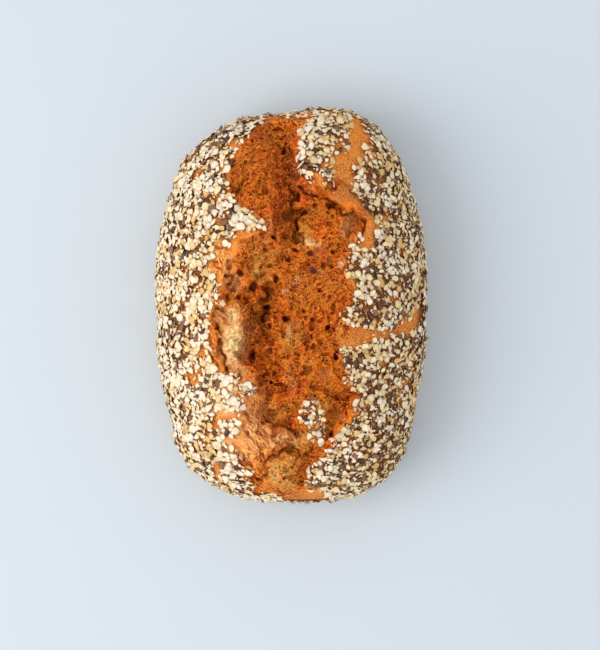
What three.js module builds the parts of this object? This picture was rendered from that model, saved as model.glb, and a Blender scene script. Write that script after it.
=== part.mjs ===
// A small multigrain loaf, baked free on its base with the seam side up.
// The seam has torn open along the crown and left a ragged valley with raised lips.
// It is one closed solid in millimetres, +Z up, standing on its flat base.
// The long axis lies along Y, and the origin is the middle of the base.
import * as THREE from 'three';

// Driving sizes of the whole loaf
const HALF_WIDTH = 73.5;
const HALF_LENGTH = 107;
const OUTLINE_POWER = 2.7;
const CROWN_HEIGHT = 77;
const WAIST_HEIGHT = 28;
const BASE_SHARE = 0.83;

// Roundness of the crown across and along the loaf, and of its underside
const CROWN_POWER_ACROSS = 2.25;
const CROWN_POWER_ALONG = 2.9;
const SHOULDER_POWER = 1.8;
const UNDERSIDE_POWER = 2.3;

// Slow waves of the crust and ragged lumps of the torn crumb, as height and length of wave
const CRUST_WAVE = 0.5;
const CRUST_WAVE_LENGTH = 52;
const LUMP = 0.9;
const LUMP_LENGTH = 14;
const LUMP_REACH = 24;
const WAVE_SLANT = 0.75;

// Share of the way out to the outline where the relief starts to die out
const RELIEF_FADE_START = 0.86;

// How finely the surface is divided
const CELLS_ACROSS = 44;
const CELLS_ALONG = 62;
const CROWN_EDGE = 0.94;
const SHOULDER_RINGS = 4;
const UNDERSIDE_RINGS = 5;

// Swells and hollows of the outline: where round the loaf, how wide, and how far out
const OUTLINE_SWELLS = [
  { name: 'top end swung to the right', at: 72, spread: 14, out: 2.0 },
  { name: 'sunken top left shoulder', at: 108, spread: 22, out: -3.9 },
  { name: 'full bottom right corner', at: 299, spread: 14, out: 3.4 },
  { name: 'bottom left corner', at: 235, spread: 8, out: 1.4 },
  { name: 'slack upper right shoulder', at: 45, spread: 12, out: -1.6 },
  { name: 'slack lower left flank', at: 212, spread: 10, out: -1.8 },
  { name: 'slack lower right flank', at: 323, spread: 10, out: -2.2 },
  { name: 'slack upper left shoulder', at: 141, spread: 11, out: -1.9 },
  { name: 'slack middle of the left flank', at: 188, spread: 9, out: -1.2 },
  { name: 'slack bottom left shoulder', at: 223, spread: 7, out: -2.0 },
  { name: 'dip in the middle of the top end', at: 92, spread: 6, out: -1.2 },
];

// Folds of the torn crown: a line over the loaf, its reach to each side, and its rise.
// A negative rise is a valley. Flat is the half-width of the even floor or top.
const FOLDS = [
  {
    name: 'long torn valley',
    line: [[-5, 91], [0, 74], [5, 52], [-1, 22], [-11, -4], [-12, -34], [-10, -54], [0, -70]],
    flat: 3,
    reach: 13,
    rise: -10,
  },
  {
    name: 'sunken bed of the tear on the right',
    line: [[12, 44], [17, 12], [15, -30], [20, -55]],
    flat: 7,
    reach: 9,
    rise: -2.5,
  },
  {
    name: 'raised crumb to the right of the valley',
    line: [[17, 26], [14, -6], [7, -34]],
    flat: 2,
    reach: 9,
    rise: 3.5,
  },
  {
    name: 'left lip',
    line: [[-33, 40], [-38, 20], [-42, 2]],
    flat: 1,
    reach: 6,
    rise: 3,
  },
  {
    name: 'upper left lobe',
    line: [[-20, 84], [-17, 62]],
    flat: 5,
    reach: 10,
    rise: 3,
  },
  {
    name: 'upper right lip',
    line: [[9, 75], [18, 59], [34, 42]],
    flat: 1,
    reach: 6,
    rise: 3.5,
  },
  {
    name: 'groove under the upper right lip',
    line: [[12, 59], [21, 50], [32, 36]],
    flat: 1,
    reach: 6,
    rise: -4,
  },
  {
    name: 'pocket of pale crumb at the left edge',
    line: [[-31, -6], [-32, -26]],
    flat: 3,
    reach: 6,
    rise: -4,
  },
  {
    name: 'broad flap at the lower left',
    line: [[-26, -50], [-20, -70], [-17, -84]],
    flat: 4,
    reach: 9,
    rise: 3,
  },
  {
    name: 'curved cleft under the flap',
    line: [[-13, -86], [-9, -79], [1, -79]],
    flat: 1,
    reach: 5,
    rise: -4,
  },
  {
    name: 'pocket at the lower right of the tear',
    line: [[21, -44], [26, -52]],
    flat: 2,
    reach: 6,
    rise: -3.5,
  },
  {
    name: 'bare crease across the right flank',
    line: [[31, -17], [46, -12], [60, -6], [73, 0]],
    flat: 1,
    reach: 6,
    rise: -1.2,
  },
];

const TURN = 2 * Math.PI;

function radians(degrees) {
  return degrees * Math.PI / 180;
}

// Signed angle from one direction to another, between minus half a turn and half a turn
function angleBetween(from, to) {
  const turn = (to - from) % TURN;
  if (turn > Math.PI) return turn - TURN;
  if (turn < -Math.PI) return turn + TURN;
  return turn;
}

// Distance from the axis to the widest outline in a given direction
function outlineRadius(theta) {
  const across = Math.pow(Math.abs(Math.cos(theta)) / HALF_WIDTH, OUTLINE_POWER);
  const along = Math.pow(Math.abs(Math.sin(theta)) / HALF_LENGTH, OUTLINE_POWER);
  let radius = Math.pow(across + along, -1 / OUTLINE_POWER);
  for (const swell of OUTLINE_SWELLS) {
    const away = angleBetween(radians(swell.at), theta) / radians(swell.spread);
    radius += swell.out * Math.exp(-away * away);
  }
  return radius;
}

// Height of the smooth crown at a share of the way out to the outline
function crownHeight(share, theta) {
  const endwise = Math.pow(Math.sin(theta), 2);
  const power = CROWN_POWER_ACROSS + (CROWN_POWER_ALONG - CROWN_POWER_ACROSS) * endwise;
  const left = Math.max(0, 1 - Math.pow(share, power));
  return WAIST_HEIGHT + (CROWN_HEIGHT - WAIST_HEIGHT) * Math.pow(left, 1 / SHOULDER_POWER);
}

// Distance from a point to the nearest stretch of a line
function distanceToLine(x, y, line) {
  let nearest = Infinity;
  for (let i = 1; i < line.length; i += 1) {
    const [startX, startY] = line[i - 1];
    const runX = line[i][0] - startX;
    const runY = line[i][1] - startY;
    const along = ((x - startX) * runX + (y - startY) * runY) / (runX * runX + runY * runY);
    const held = THREE.MathUtils.clamp(along, 0, 1);
    nearest = Math.min(nearest, Math.hypot(x - startX - held * runX, y - startY - held * runY));
  }
  return nearest;
}

// Even waves of one length that cross each other at a slant
function crossedWaves(x, y, length) {
  const turns = TURN / length;
  return Math.sin((x + WAVE_SLANT * y) * turns) * Math.sin((WAVE_SLANT * x - y) * turns);
}

// 1 in the middle of a fold, and falling softly to 0 a little past its reach
function foldShare(away) {
  return Math.exp(-2 * away * away);
}

// Rise and fall of the torn crown and the slow waves of the crust at a point
function reliefHeight(x, y) {
  const fromTear = distanceToLine(x, y, FOLDS[0].line) / LUMP_REACH;
  let height = CRUST_WAVE * crossedWaves(x, y, CRUST_WAVE_LENGTH);
  height += LUMP * crossedWaves(x, y, LUMP_LENGTH) * Math.exp(-Math.pow(fromTear, 4));
  for (const fold of FOLDS) {
    const away = Math.max(0, distanceToLine(x, y, fold.line) - fold.flat) / fold.reach;
    height += fold.rise * foldShare(away);
  }
  return height;
}

// Point on the crown, with its relief dying out towards the widest outline
function crownPoint(share, theta) {
  const radius = share * outlineRadius(theta);
  const x = radius * Math.cos(theta);
  const y = radius * Math.sin(theta);
  const fade = 1 - THREE.MathUtils.smoothstep(share, RELIEF_FADE_START, 1);
  return new THREE.Vector3(x, y, crownHeight(share, theta) + fade * reliefHeight(x, y));
}

// Point on the rounded underside, at a share of the way down from the waist to the base
function undersidePoint(down, theta) {
  const roundness = Math.pow(1 - Math.pow(down, UNDERSIDE_POWER), 1 / UNDERSIDE_POWER);
  const radius = outlineRadius(theta) * (BASE_SHARE + (1 - BASE_SHARE) * roundness);
  return new THREE.Vector3(radius * Math.cos(theta), radius * Math.sin(theta), WAIST_HEIGHT * (1 - down));
}

// Direction and share of a cell corner, on a square grid drawn out over the outline
function gridPlace(column, row) {
  const u = 2 * column / CELLS_ACROSS - 1;
  const v = 2 * row / CELLS_ALONG - 1;
  const share = Math.max(Math.abs(u), Math.abs(v)) * CROWN_EDGE;
  return { share, theta: Math.atan2(v * HALF_LENGTH, u * HALF_WIDTH) };
}

// Cell corners round the edge of the grid, anticlockwise as seen from above
function gridEdge() {
  const corners = [];
  for (let column = 0; column < CELLS_ACROSS; column += 1) corners.push([column, 0]);
  for (let row = 0; row < CELLS_ALONG; row += 1) corners.push([CELLS_ACROSS, row]);
  for (let column = CELLS_ACROSS; column > 0; column -= 1) corners.push([column, CELLS_ALONG]);
  for (let row = CELLS_ALONG; row > 0; row -= 1) corners.push([0, row]);
  return corners;
}

// Two triangles between four corners given anticlockwise, cut along the shorter diagonal
function addQuad(points, faces, a, b, c, d) {
  if (points[a].distanceTo(points[c]) < points[b].distanceTo(points[d])) {
    faces.push(a, b, c, a, c, d);
  } else {
    faces.push(a, b, d, b, c, d);
  }
}

// The torn crown, as a grid of cells
function addCrown(points, faces) {
  for (let row = 0; row <= CELLS_ALONG; row += 1) {
    for (let column = 0; column <= CELLS_ACROSS; column += 1) {
      const place = gridPlace(column, row);
      points.push(crownPoint(place.share, place.theta));
    }
  }
  const across = CELLS_ACROSS + 1;
  for (let row = 0; row < CELLS_ALONG; row += 1) {
    for (let column = 0; column < CELLS_ACROSS; column += 1) {
      const corner = row * across + column;
      addQuad(points, faces, corner, corner + 1, corner + across + 1, corner + across);
    }
  }
}

// One ring of points under the last one, joined to it by a belt of cells
function addRing(points, faces, above, ring) {
  const below = ring.map((point) => points.push(point) - 1);
  for (let i = 0; i < above.length; i += 1) {
    const next = (i + 1) % above.length;
    addQuad(points, faces, below[i], below[next], above[next], above[i]);
  }
  return below;
}

// Shoulder and underside, ring by ring down to the base
function addSides(points, faces, edge, directions) {
  let last = edge;
  for (let i = 1; i <= SHOULDER_RINGS; i += 1) {
    const slope = Math.sin(Math.PI / 2 * i / SHOULDER_RINGS);
    const share = CROWN_EDGE + (1 - CROWN_EDGE) * slope;
    last = addRing(points, faces, last, directions.map((theta) => crownPoint(share, theta)));
  }
  for (let i = 1; i <= UNDERSIDE_RINGS; i += 1) {
    const down = Math.sin(Math.PI / 2 * i / UNDERSIDE_RINGS);
    last = addRing(points, faces, last, directions.map((theta) => undersidePoint(down, theta)));
  }
  return last;
}

// Flat base inside the last ring, facing down
function addBase(points, faces, ring) {
  const outline = ring.map((index) => new THREE.Vector2(points[index].x, points[index].y));
  for (const [a, b, c] of THREE.ShapeUtils.triangulateShape(outline, [])) {
    faces.push(ring[a], ring[c], ring[b]);
  }
}

// The whole loaf as one closed surface, centred over the middle of its base
function loafGeometry() {
  const points = [];
  const faces = [];
  addCrown(points, faces);
  const corners = gridEdge();
  const edge = corners.map(([column, row]) => row * (CELLS_ACROSS + 1) + column);
  const directions = corners.map(([column, row]) => gridPlace(column, row).theta);
  const foot = addSides(points, faces, edge, directions);
  addBase(points, faces, foot);

  const geometry = new THREE.BufferGeometry().setFromPoints(points);
  geometry.setIndex(faces);
  geometry.computeBoundingBox();
  const middle = geometry.boundingBox.getCenter(new THREE.Vector3());
  geometry.translate(-middle.x, -middle.y, 0);
  geometry.computeVertexNormals();
  return geometry;
}

const crust = new THREE.MeshStandardMaterial({ color: 0xb98a55, roughness: 0.85, metalness: 0 });
const loaf = new THREE.Mesh(loafGeometry(), crust);
loaf.name = 'loaf';

const model = new THREE.Group();
model.add(loaf);

export default model;
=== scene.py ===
import math
from collections import namedtuple
from functools import reduce
from itertools import product

import bpy
import numpy as np
from bpy.props import FloatProperty, FloatVectorProperty, IntProperty, PointerProperty
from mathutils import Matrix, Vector


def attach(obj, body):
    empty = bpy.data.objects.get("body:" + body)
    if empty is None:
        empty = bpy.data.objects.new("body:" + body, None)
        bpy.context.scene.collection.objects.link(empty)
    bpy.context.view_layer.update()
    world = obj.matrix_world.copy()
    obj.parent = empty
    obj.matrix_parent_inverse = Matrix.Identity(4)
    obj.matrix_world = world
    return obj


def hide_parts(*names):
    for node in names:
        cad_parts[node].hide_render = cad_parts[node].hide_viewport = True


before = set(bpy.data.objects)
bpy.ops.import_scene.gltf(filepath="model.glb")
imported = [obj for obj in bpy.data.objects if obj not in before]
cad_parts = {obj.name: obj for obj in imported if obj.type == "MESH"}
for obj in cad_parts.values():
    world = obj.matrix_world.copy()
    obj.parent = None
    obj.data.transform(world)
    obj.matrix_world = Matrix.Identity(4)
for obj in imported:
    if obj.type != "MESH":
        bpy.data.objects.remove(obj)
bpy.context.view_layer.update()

bl_info = {
    "name": "Multigrain loaf",
    "version": (1, 0, 0),
    "blender": (4, 5, 0),
    "location": "3D View > Sidebar > Bread",
    "description": "A small multigrain loaf with a crust torn open along its crown",
    "category": "Add Mesh",
}

MM = 0.001

# Driving sizes of the whole loaf in millimetres, as the solid has them
HALF_WIDTH = 73.5
HALF_LENGTH = 107.0
OUTLINE_POWER = 2.7
CROWN_HEIGHT = 77.0
WAIST_HEIGHT = 28.0
BASE_SHARE = 0.83
CROWN_POWER_ACROSS = 2.25
CROWN_POWER_ALONG = 2.9
SHOULDER_POWER = 1.8
UNDERSIDE_POWER = 2.3

# Swells and hollows of the outline: degrees round the loaf, spread in degrees, and how far out
OUTLINE_SWELLS = (
    (72, 14, 2.0),
    (108, 22, -3.9),
    (299, 14, 3.4),
    (235, 8, 1.4),
    (45, 12, -1.6),
    (212, 10, -1.8),
    (323, 10, -2.2),
    (141, 11, -1.9),
    (188, 9, -1.2),
    (223, 7, -2.0),
    (92, 6, -1.2),
)

# How far the flakes stand out of the crust, which lies this much inside the widest outline
TOPPING_DEPTH = 1.35

# A fold follows a line over the crown. Flat is the half-width of its even floor or top, reach is how
# far it fades out beside that, a negative rise is a valley, and rim is how bright the painted highlight
# on its edge is.
Fold = namedtuple("Fold", "name line flat reach rise rim", defaults=(0.0,))

VALLEY_LINE = [(-6, 94), (-3, 80), (-2, 66), (4, 54), (4, 40), (0, 26), (-8, 12), (-14, 0),
               (-15, -20), (-13, -36), (-14, -50), (-12, -59), (-4, -64), (2, -69)]

FOLDS = (
    Fold("broad torn valley", VALLEY_LINE, 2.0, 10.0, -5.5),
    Fold("valley floor", VALLEY_LINE, 0.8, 3.6, -3.5),
    Fold("wide middle of the valley", [(-16, 8), (-17, -8), (-18, -28)], 4.0, 5.0, -3.0),
    Fold("sunken bed on the right", [(12, 46), (16, 24)], 6.0, 8.0, -1.8),
    Fold("left lip", [(-27, 32), (-32, 22), (-36, 10), (-37, 0)], 0.8, 3.4, 2.8),
    Fold("upper left lobe", [(-21, 85), (-20, 73)], 6.0, 8.0, 2.0),
    Fold("crack under the lobe", [(-10, 79), (-17, 75), (-25, 67), (-29, 61)], 0.3, 1.9, -2.4),
    Fold("upper right lip", [(10, 72), (18, 63), (27, 57), (37, 46)], 1.0, 3.6, 3.2),
    Fold("groove under right lip", [(8, 63), (16, 58), (24, 52), (31, 45), (38, 36)], 0.4, 2.2, -5.0),
    Fold("crevice from the lip", [(2, 60), (5, 54), (8, 49), (4, 44), (3, 38), (6, 35)], 0.3, 1.8, -4.5),
    Fold("pocket of the tongue", [(-31, -6), (-31, -17), (-31, -28)], 5.2, 2.2, -1.6),
    Fold("pale tongue of crumb", [(-29.6, -9), (-29.4, -17), (-29.8, -27)], 4.6, 2.0, 4.8),
    Fold("slit beside the tongue", [(-38.5, -10), (-38.5, -18), (-37, -27), (-34, -33)], 0.8, 1.5, -5.5),
    Fold("red tongue rim", [(-27, -2), (-23.5, -9), (-23, -17), (-24, -25), (-27, -32)], 0.4, 1.6, 1.6),
    Fold("broad flap at the lower left", [(-26, -48), (-22, -64), (-17, -80)], 5.0, 8.0, 2.2),
    Fold("lobe of the flap", [(-14, -69), (-7, -70.5), (-1, -72)], 2.4, 2.6, 3.0),
    Fold("cleft under the flap", [(3, -80), (-3, -79), (-8, -80), (-12, -87)], 0.8, 1.6, -6.5),
    Fold("bed of the lower crumb", [(-4, -88), (-4, -96)], 6.6, 4.6, 4.0),
    Fold("yellow bridge", [(9, -66), (6, -74), (4, -77)], 2.0, 3.0, 1.8),
    Fold("red strip beside the crumb", [(10, -77), (7, -88), (5, -98)], 1.0, 3.2, -2.4),
    Fold("pocket at the lower right", [(26, -53), (20, -66)], 3.0, 4.2, -4.6),
    Fold("ridge round that pocket", [(34, -53), (27, -65), (19, -74)], 0.6, 2.2, 2.2),
    Fold("thin ridge on the right", [(15, -10), (14.5, -20), (12, -27), (8, -30)], 0.3, 1.2, 1.6, 0.9),
    Fold("red channel", [(24, -11), (18, -15), (15.5, -19), (15, -26)], 0.6, 1.6, -1.6),
    Fold("rim of the ringed hollow", [(12, -30), (13, -34), (11.5, -38), (9, -40)], 0.2, 1.1, 1.3, 1.0),
    Fold("rim of the right hollow", [(20, -31), (23, -34), (24, -39)], 0.2, 1.1, 1.2, 0.9),
    Fold("rim of the red pocket", [(21.5, -24), (25, -27), (27, -31)], 0.2, 1.0, 1.2, 1.0),
    Fold("golden valley strand", [(-19, -21), (-17, -28), (-13, -34), (-10, -39)], 0.3, 1.3, 2.2, 0.7),
    Fold("second strand", [(-15, -20), (-13, -29), (-9, -33)], 0.3, 1.1, 1.4, 0.5),
    Fold("rim under the left lip", [(-27, 31), (-33, 22), (-36.5, 12), (-36, 1)], 0.2, 0.9, 0.6, 0.6),
    Fold("curled bubble rim", [(7, 37), (11, 38), (15, 36), (15, 32), (12, 30)], 0.2, 1.2, 1.4, 0.9),
    Fold("left strand of the bubble", [(6, 37), (5, 33), (8, 30)], 0.2, 1.0, 0.9, 0.7),
    Fold("rim of the round hollow", [(26, 40), (28, 36), (33, 34)], 0.2, 1.1, 1.0, 0.7),
    Fold("edge under right lip", [(12, 62), (22, 56), (30, 50), (35, 43), (37, 38)], 0.2, 1.0, 0.8, 0.6),
    Fold("strand across the bed", [(-9, 30), (-5, 31), (0, 29), (4, 30)], 0.2, 1.0, 1.0, 0.7),
    Fold("strand over the dark pits", [(5, 29), (6, 25), (4, 22)], 0.2, 0.9, 1.0, 0.9),
    Fold("cream knot", [(-5, 15), (-4, 12)], 0.4, 1.0, 1.2, 1.0),
    Fold("loops by the left lip", [(-31, 7), (-28, 6), (-24, 5), (-25, 1), (-29, 0)], 0.2, 1.0, 1.4, 0.7),
    Fold("ridge in the loops", [(-33, 8), (-30, 3), (-31, -1)], 0.2, 0.9, 1.0, 0.5),
    Fold("rim beside the dark hole", [(-24, 13), (-22, 15), (-18, 14), (-15, 11)], 0.2, 1.1, 1.2, 0.6),
    Fold("crumb under the tongue", [(-29, -34), (-26, -36), (-24, -38), (-27, -40)], 0.5, 1.4, 1.8, 0.8),
    Fold("left rim of the slit", [(-40, -6), (-40.5, -18), (-39, -28), (-35, -35)], 0.2, 1.0, 0.8, 0.5),
    Fold("cream strand on the crest", [(0, -7), (1, -11), (2, -15)], 0.3, 1.0, 1.2, 1.0),
    Fold("rim of the lower pocket", [(34, -51), (32, -60), (25, -68), (19, -74)], 0.3, 1.2, 1.6, 0.9),
    Fold("inner strand of the pocket", [(22, -50), (20, -57), (17, -63)], 0.2, 1.0, 1.0, 0.6),
    Fold("rim of the lower cleft", [(4, -81), (-2, -82), (-7, -83), (-11, -88)], 0.2, 1.0, 0.8, 0.7),
    Fold("lobe crack edge", [(-9, 81), (-17, 77), (-25, 69), (-30, 62)], 0.3, 1.3, 1.2, 0.5),
    Fold("wrinkle on the lobe", [(-26, 80), (-20, 83), (-13, 82)], 0.3, 1.2, 0.8, 0.3),
    Fold("second wrinkle on the lobe", [(-27, 72), (-20, 75), (-14, 74)], 0.3, 1.2, -0.9),
    Fold("strand in the upper bed", [(-24, 56), (-18, 62), (-12, 66), (-9, 73)], 0.3, 1.2, 1.2, 0.5),
    Fold("second strand in the upper bed", [(-18, 50), (-12, 55), (-8, 61)], 0.3, 1.2, 1.0, 0.4),
    Fold("row of pits on the right", [(11, -9), (11, -22)], 1.0, 2.2, -3.0),
    Fold("wedge on the right", [(19, -14), (24, -11)], 0.8, 2.0, -2.8),
    Fold("scorched ridge", [(-1, -32), (0, -46)], 2.0, 4.0, 2.2),
    Fold("scorched crest", [(-11, 47), (-10, 38), (-14, 32)], 1.0, 4.0, 2.6),
    Fold("curved brown ridge", [(-29, 23), (-24, 28), (-18, 27)], 0.8, 2.5, 1.8),
    Fold("crest by the terrace", [(1, 26), (-3, 16), (-5, 2), (-5, -12), (-6, -24)], 1.5, 4.5, 2.6),
    Fold("slit among the left flakes", [(-34, 44), (-31, 38)], 0.8, 2.2, -3.0),
    Fold("bare crease on the right flank", [(25, -16), (46, -15), (60, -9), (74, 0)], 2.0, 4.0, -1.3),
    Fold("wide slit in the flap", [(-26, -78), (-22.3, -83)], 0.5, 1.1, -2.6),
    Fold("lowest slit in the flap", [(-19, -92), (-16, -96)], 0.6, 1.3, -2.6),
    Fold("upper slit in the flap", [(-26, -54), (-25, -58), (-22, -61)], 0.3, 0.9, -1.8),
    Fold("second slit in the flap", [(-26, -63.5), (-22, -66.6)], 0.3, 0.9, -1.8),
    Fold("long crease of the flap", [(-17, -80), (-15, -87), (-13, -92)], 0.3, 1.0, -1.4),
    Fold("third slit in the flap", [(-19, -70), (-15, -74)], 0.2, 0.9, -1.2),
    Fold("frayed edge of the flap", [(-16, -49), (-14, -60), (-9, -70), (-12, -78)], 0.3, 1.6, 1.2, 0.5),
)

# A pit is a hollow with its middle under the surface, in millimetres, and a tint on its floor. The pit
# tint is painted shade, and the red and olive tints are partly painted shade.
Pit = namedtuple("Pit", "name x y across along deep sink floor")

PITS = (
    Pit("olive hole at the top end", -7.0, 93.0, 2.8, 2.0, 2.4, 0.4, "olive"),
    Pit("hole under it", -3.0, 88.0, 1.8, 1.5, 2.4, 0.5, "olive"),
    Pit("deep hole in the upper valley", -3.5, 81.5, 1.7, 2.6, 4.0, 1.6, "pit"),
    Pit("upper crevice", 4.0, 56.0, 1.6, 3.6, 3.4, 0.6, "red"),
    Pit("crevice below it", 7.4, 48.0, 2.2, 2.2, 3.0, 0.4, "red"),
    Pit("foot of the crevice", 3.6, 41.0, 1.3, 2.8, 3.0, 0.4, "red"),
    Pit("hollow under the right lip", 20.0, 51.5, 4.6, 3.8, 4.0, 1.2, "olive"),
    Pit("dark corner under the lip", 23.5, 52.5, 2.2, 1.8, 2.6, 0.8, "pit"),
    Pit("small hollow beside it", 12.5, 51.5, 2.2, 2.0, 2.2, 0.3, "red"),
    Pit("round hollow at the right", 30.6, 41.0, 4.2, 5.8, 3.2, 0.0, "tan"),
    Pit("large hollow by the left lip", -30.8, 11.0, 4.6, 5.4, 4.6, 0.8, "tan"),
    Pit("shadowed side of that hollow", -34.0, 12.0, 1.8, 4.6, 4.0, 1.2, "red"),
    Pit("red pit over the hollow", -26.5, 16.0, 2.4, 2.6, 2.8, 0.8, "red"),
    Pit("red pit at the upper left", -32.0, 19.0, 1.6, 2.8, 2.6, 0.6, "red"),
    Pit("pit in the loops", -33.2, 4.0, 1.6, 2.6, 2.8, 0.7, "red"),
    Pit("second pit in the loops", -27.0, 3.0, 1.7, 1.9, 2.2, 0.5, "red"),
    Pit("deep round hole", -19.2, 8.8, 3.0, 3.2, 5.0, 2.2, "pit"),
    Pit("slit by the crest", -7.8, 13.2, 1.8, 2.4, 3.2, 0.9, "pit"),
    Pit("olive floor beside it", -12.5, 5.5, 4.4, 4.2, 1.6, 0.0, "olive"),
    Pit("smooth hollow in the upper bed", -1.5, 47.0, 3.4, 4.4, 2.2, 0.0, "olive"),
    Pit("smooth hollow below it", -2.8, 36.0, 2.6, 3.2, 2.2, 0.0, "olive"),
    Pit("floor of the bubble", 10.6, 33.0, 3.4, 2.8, 2.0, 0.2, "cream"),
    Pit("dark pit under the bubble", 3.4, 27.0, 1.5, 1.8, 2.6, 0.7, "pit"),
    Pit("second dark pit", -1.6, 23.2, 1.5, 1.9, 2.6, 0.6, "olive"),
    Pit("purple pit", 10.5, 26.5, 2.6, 1.5, 2.0, 0.4, "burnt"),
    Pit("pit in the right terrace", 22.0, 27.0, 1.5, 1.6, 2.4, 0.5, "olive"),
    Pit("long hollow under it", 20.5, 22.5, 1.9, 3.4, 1.6, 0.0, "tan"),
    Pit("small pale bubble", 27.4, 21.8, 1.5, 1.7, 1.0, -0.2, "cream"),
    Pit("cleft across the valley", -13.5, -1.8, 5.0, 1.3, 3.4, 1.2, "pit"),
    Pit("dark valley floor", -13.0, -7.0, 3.2, 3.4, 2.4, 0.6, "olive"),
    Pit("narrow valley floor", -11.2, -11.5, 1.7, 2.2, 2.4, 0.6, "pit"),
    Pit("dark hole on the crest", -2.4, -7.8, 2.6, 1.9, 3.6, 1.0, "pit"),
    Pit("pale hollow beside it", 3.0, -11.5, 1.6, 3.0, 2.0, 0.2, "tan"),
    Pit("slanting hole in the lower valley", -20.0, -27.0, 1.8, 3.6, 5.0, 1.8, "pit"),
    Pit("wide hollow in the lower valley", -11.2, -25.0, 3.4, 3.8, 3.4, 0.6, "olive"),
    Pit("hole at its foot", -8.6, -37.0, 1.9, 2.0, 3.2, 0.9, "pit"),
    Pit("small hole under that", -10.2, -41.2, 1.1, 1.2, 2.4, 0.8, "pit"),
    Pit("first pit of the row", 11.4, -8.3, 1.7, 1.5, 2.2, 0.5, "red"),
    Pit("second pit of the row", 11.2, -12.8, 1.9, 1.9, 2.4, 0.5, "olive"),
    Pit("third pit of the row", 11.2, -17.2, 1.8, 1.9, 2.0, 0.3, "olive"),
    Pit("fourth pit of the row", 12.0, -22.3, 1.6, 2.1, 2.4, 0.5, "olive"),
    Pit("red pit by the wedge", 19.4, -12.4, 1.5, 1.7, 2.4, 0.6, "red"),
    Pit("red pocket", 23.8, -27.6, 1.9, 3.4, 3.0, 0.5, "red"),
    Pit("ringed hollow", 8.6, -34.5, 3.6, 3.6, 2.4, 0.0, "olive"),
    Pit("dark corner of the hollow", 10.6, -33.0, 1.6, 1.2, 2.0, 0.6, "pit"),
    Pit("smooth hollow at the right", 17.7, -36.0, 4.2, 4.2, 2.2, -0.2, "tan"),
    Pit("shallow hollow under them", 14.0, -44.0, 4.6, 2.6, 2.0, 0.0, "olive"),
    Pit("dark spot on the terrace", 7.0, -4.0, 1.4, 1.2, 2.0, 0.4, "red"),
    Pit("pit low on the terrace", 21.8, -4.8, 1.1, 1.1, 1.6, 0.3, "pit"),
    Pit("pit beside it", 19.8, -7.3, 0.9, 0.8, 1.4, 0.3, "pit"),
    Pit("diamond pit", 15.2, 7.0, 1.6, 1.5, 1.6, 0.2, "red"),
    Pit("brown hollow on the terrace", 12.0, 17.5, 3.2, 2.4, 2.2, 0.2, "burnt"),
    Pit("pit by the cream knot", -10.5, 20.0, 1.8, 1.3, 1.8, 0.3, "olive"),
    Pit("olive pit on the left", -12.6, 28.2, 2.8, 2.2, 2.6, 0.4, "olive"),
    Pit("dark pit on the crest", -12.0, 45.0, 2.0, 1.2, 2.4, 0.6, "pit"),
    Pit("pit in the scorched crest", -9.2, 34.2, 1.4, 1.2, 2.2, 0.6, "pit"),
    Pit("hollow in the pocket", 24.0, -58.0, 2.6, 4.0, 2.6, 0.3, "tan"),
    Pit("hole in the lower pocket", 28.4, -56.5, 1.6, 2.4, 3.0, 0.8, "pit"),
    Pit("hole at its lower end", 21.6, -68.5, 1.5, 1.6, 2.8, 0.8, "pit"),
    Pit("small pits of the pocket", 30.0, -49.5, 1.2, 1.2, 2.0, 0.5, "red"),
    Pit("another of them", 24.5, -49.5, 1.5, 1.2, 2.0, 0.4, "red"),
    Pit("hollow under the flap", -10.5, -58.0, 3.4, 3.4, 3.0, 0.4, "olive"),
    Pit("hole under the flap", -12.5, -62.5, 2.2, 1.6, 3.6, 1.2, "pit"),
    Pit("hole beside the bridge", 3.0, -69.5, 2.0, 1.3, 3.0, 0.9, "olive"),
    Pit("first pit of the yellow crumb", -3.6, -92.4, 1.3, 0.9, 2.0, 0.4, "red"),
    Pit("second pit of the yellow crumb", -2.9, -97.0, 2.0, 0.7, 1.8, 0.4, "red"),
    Pit("third pit of the yellow crumb", 1.0, -86.0, 1.0, 1.2, 1.8, 0.4, "red"),
    Pit("hole at the foot of the flap", -16.7, -93.0, 2.4, 1.6, 2.6, 0.7, "red"),
    Pit("olive hollow in the upper bed", -14.0, 60.0, 2.8, 3.0, 2.0, 0.0, "olive"),
    Pit("brown hollow in the upper bed", -6.0, 68.0, 2.2, 2.6, 2.4, 0.3, "olive"),
)

# Where the crumb is torn open, and the patches of bare crust round it, as rough outlines
TEAR = [
    (-9, 97), (-3, 97), (3, 92), (5, 85), (4, 78), (5, 71), (12, 62), (20, 57), (28, 51), (36, 43),
    (38, 36), (34, 32), (32, 26), (31, 14), (32, 4), (29, -5), (25, -11), (23, -18), (25, -25),
    (27, -33), (31, -41), (35, -50), (33, -58), (28, -66), (19, -74), (12, -78), (10, -88), (6, -99),
    (-3, -101), (-12, -99), (-15, -92), (-13, -84), (-8, -77), (0, -74), (1, -70), (-6, -66),
    (-14, -60), (-16, -54), (-17, -47), (-24, -42), (-32, -38), (-38, -31), (-41, -20), (-40, -8),
    (-37, 2), (-36, 12), (-33, 20), (-29, 27), (-22, 32), (-17, 38), (-19, 46), (-29, 50), (-32, 56),
    (-33, 65), (-32, 75), (-27.5, 84), (-20, 93),
]

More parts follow.
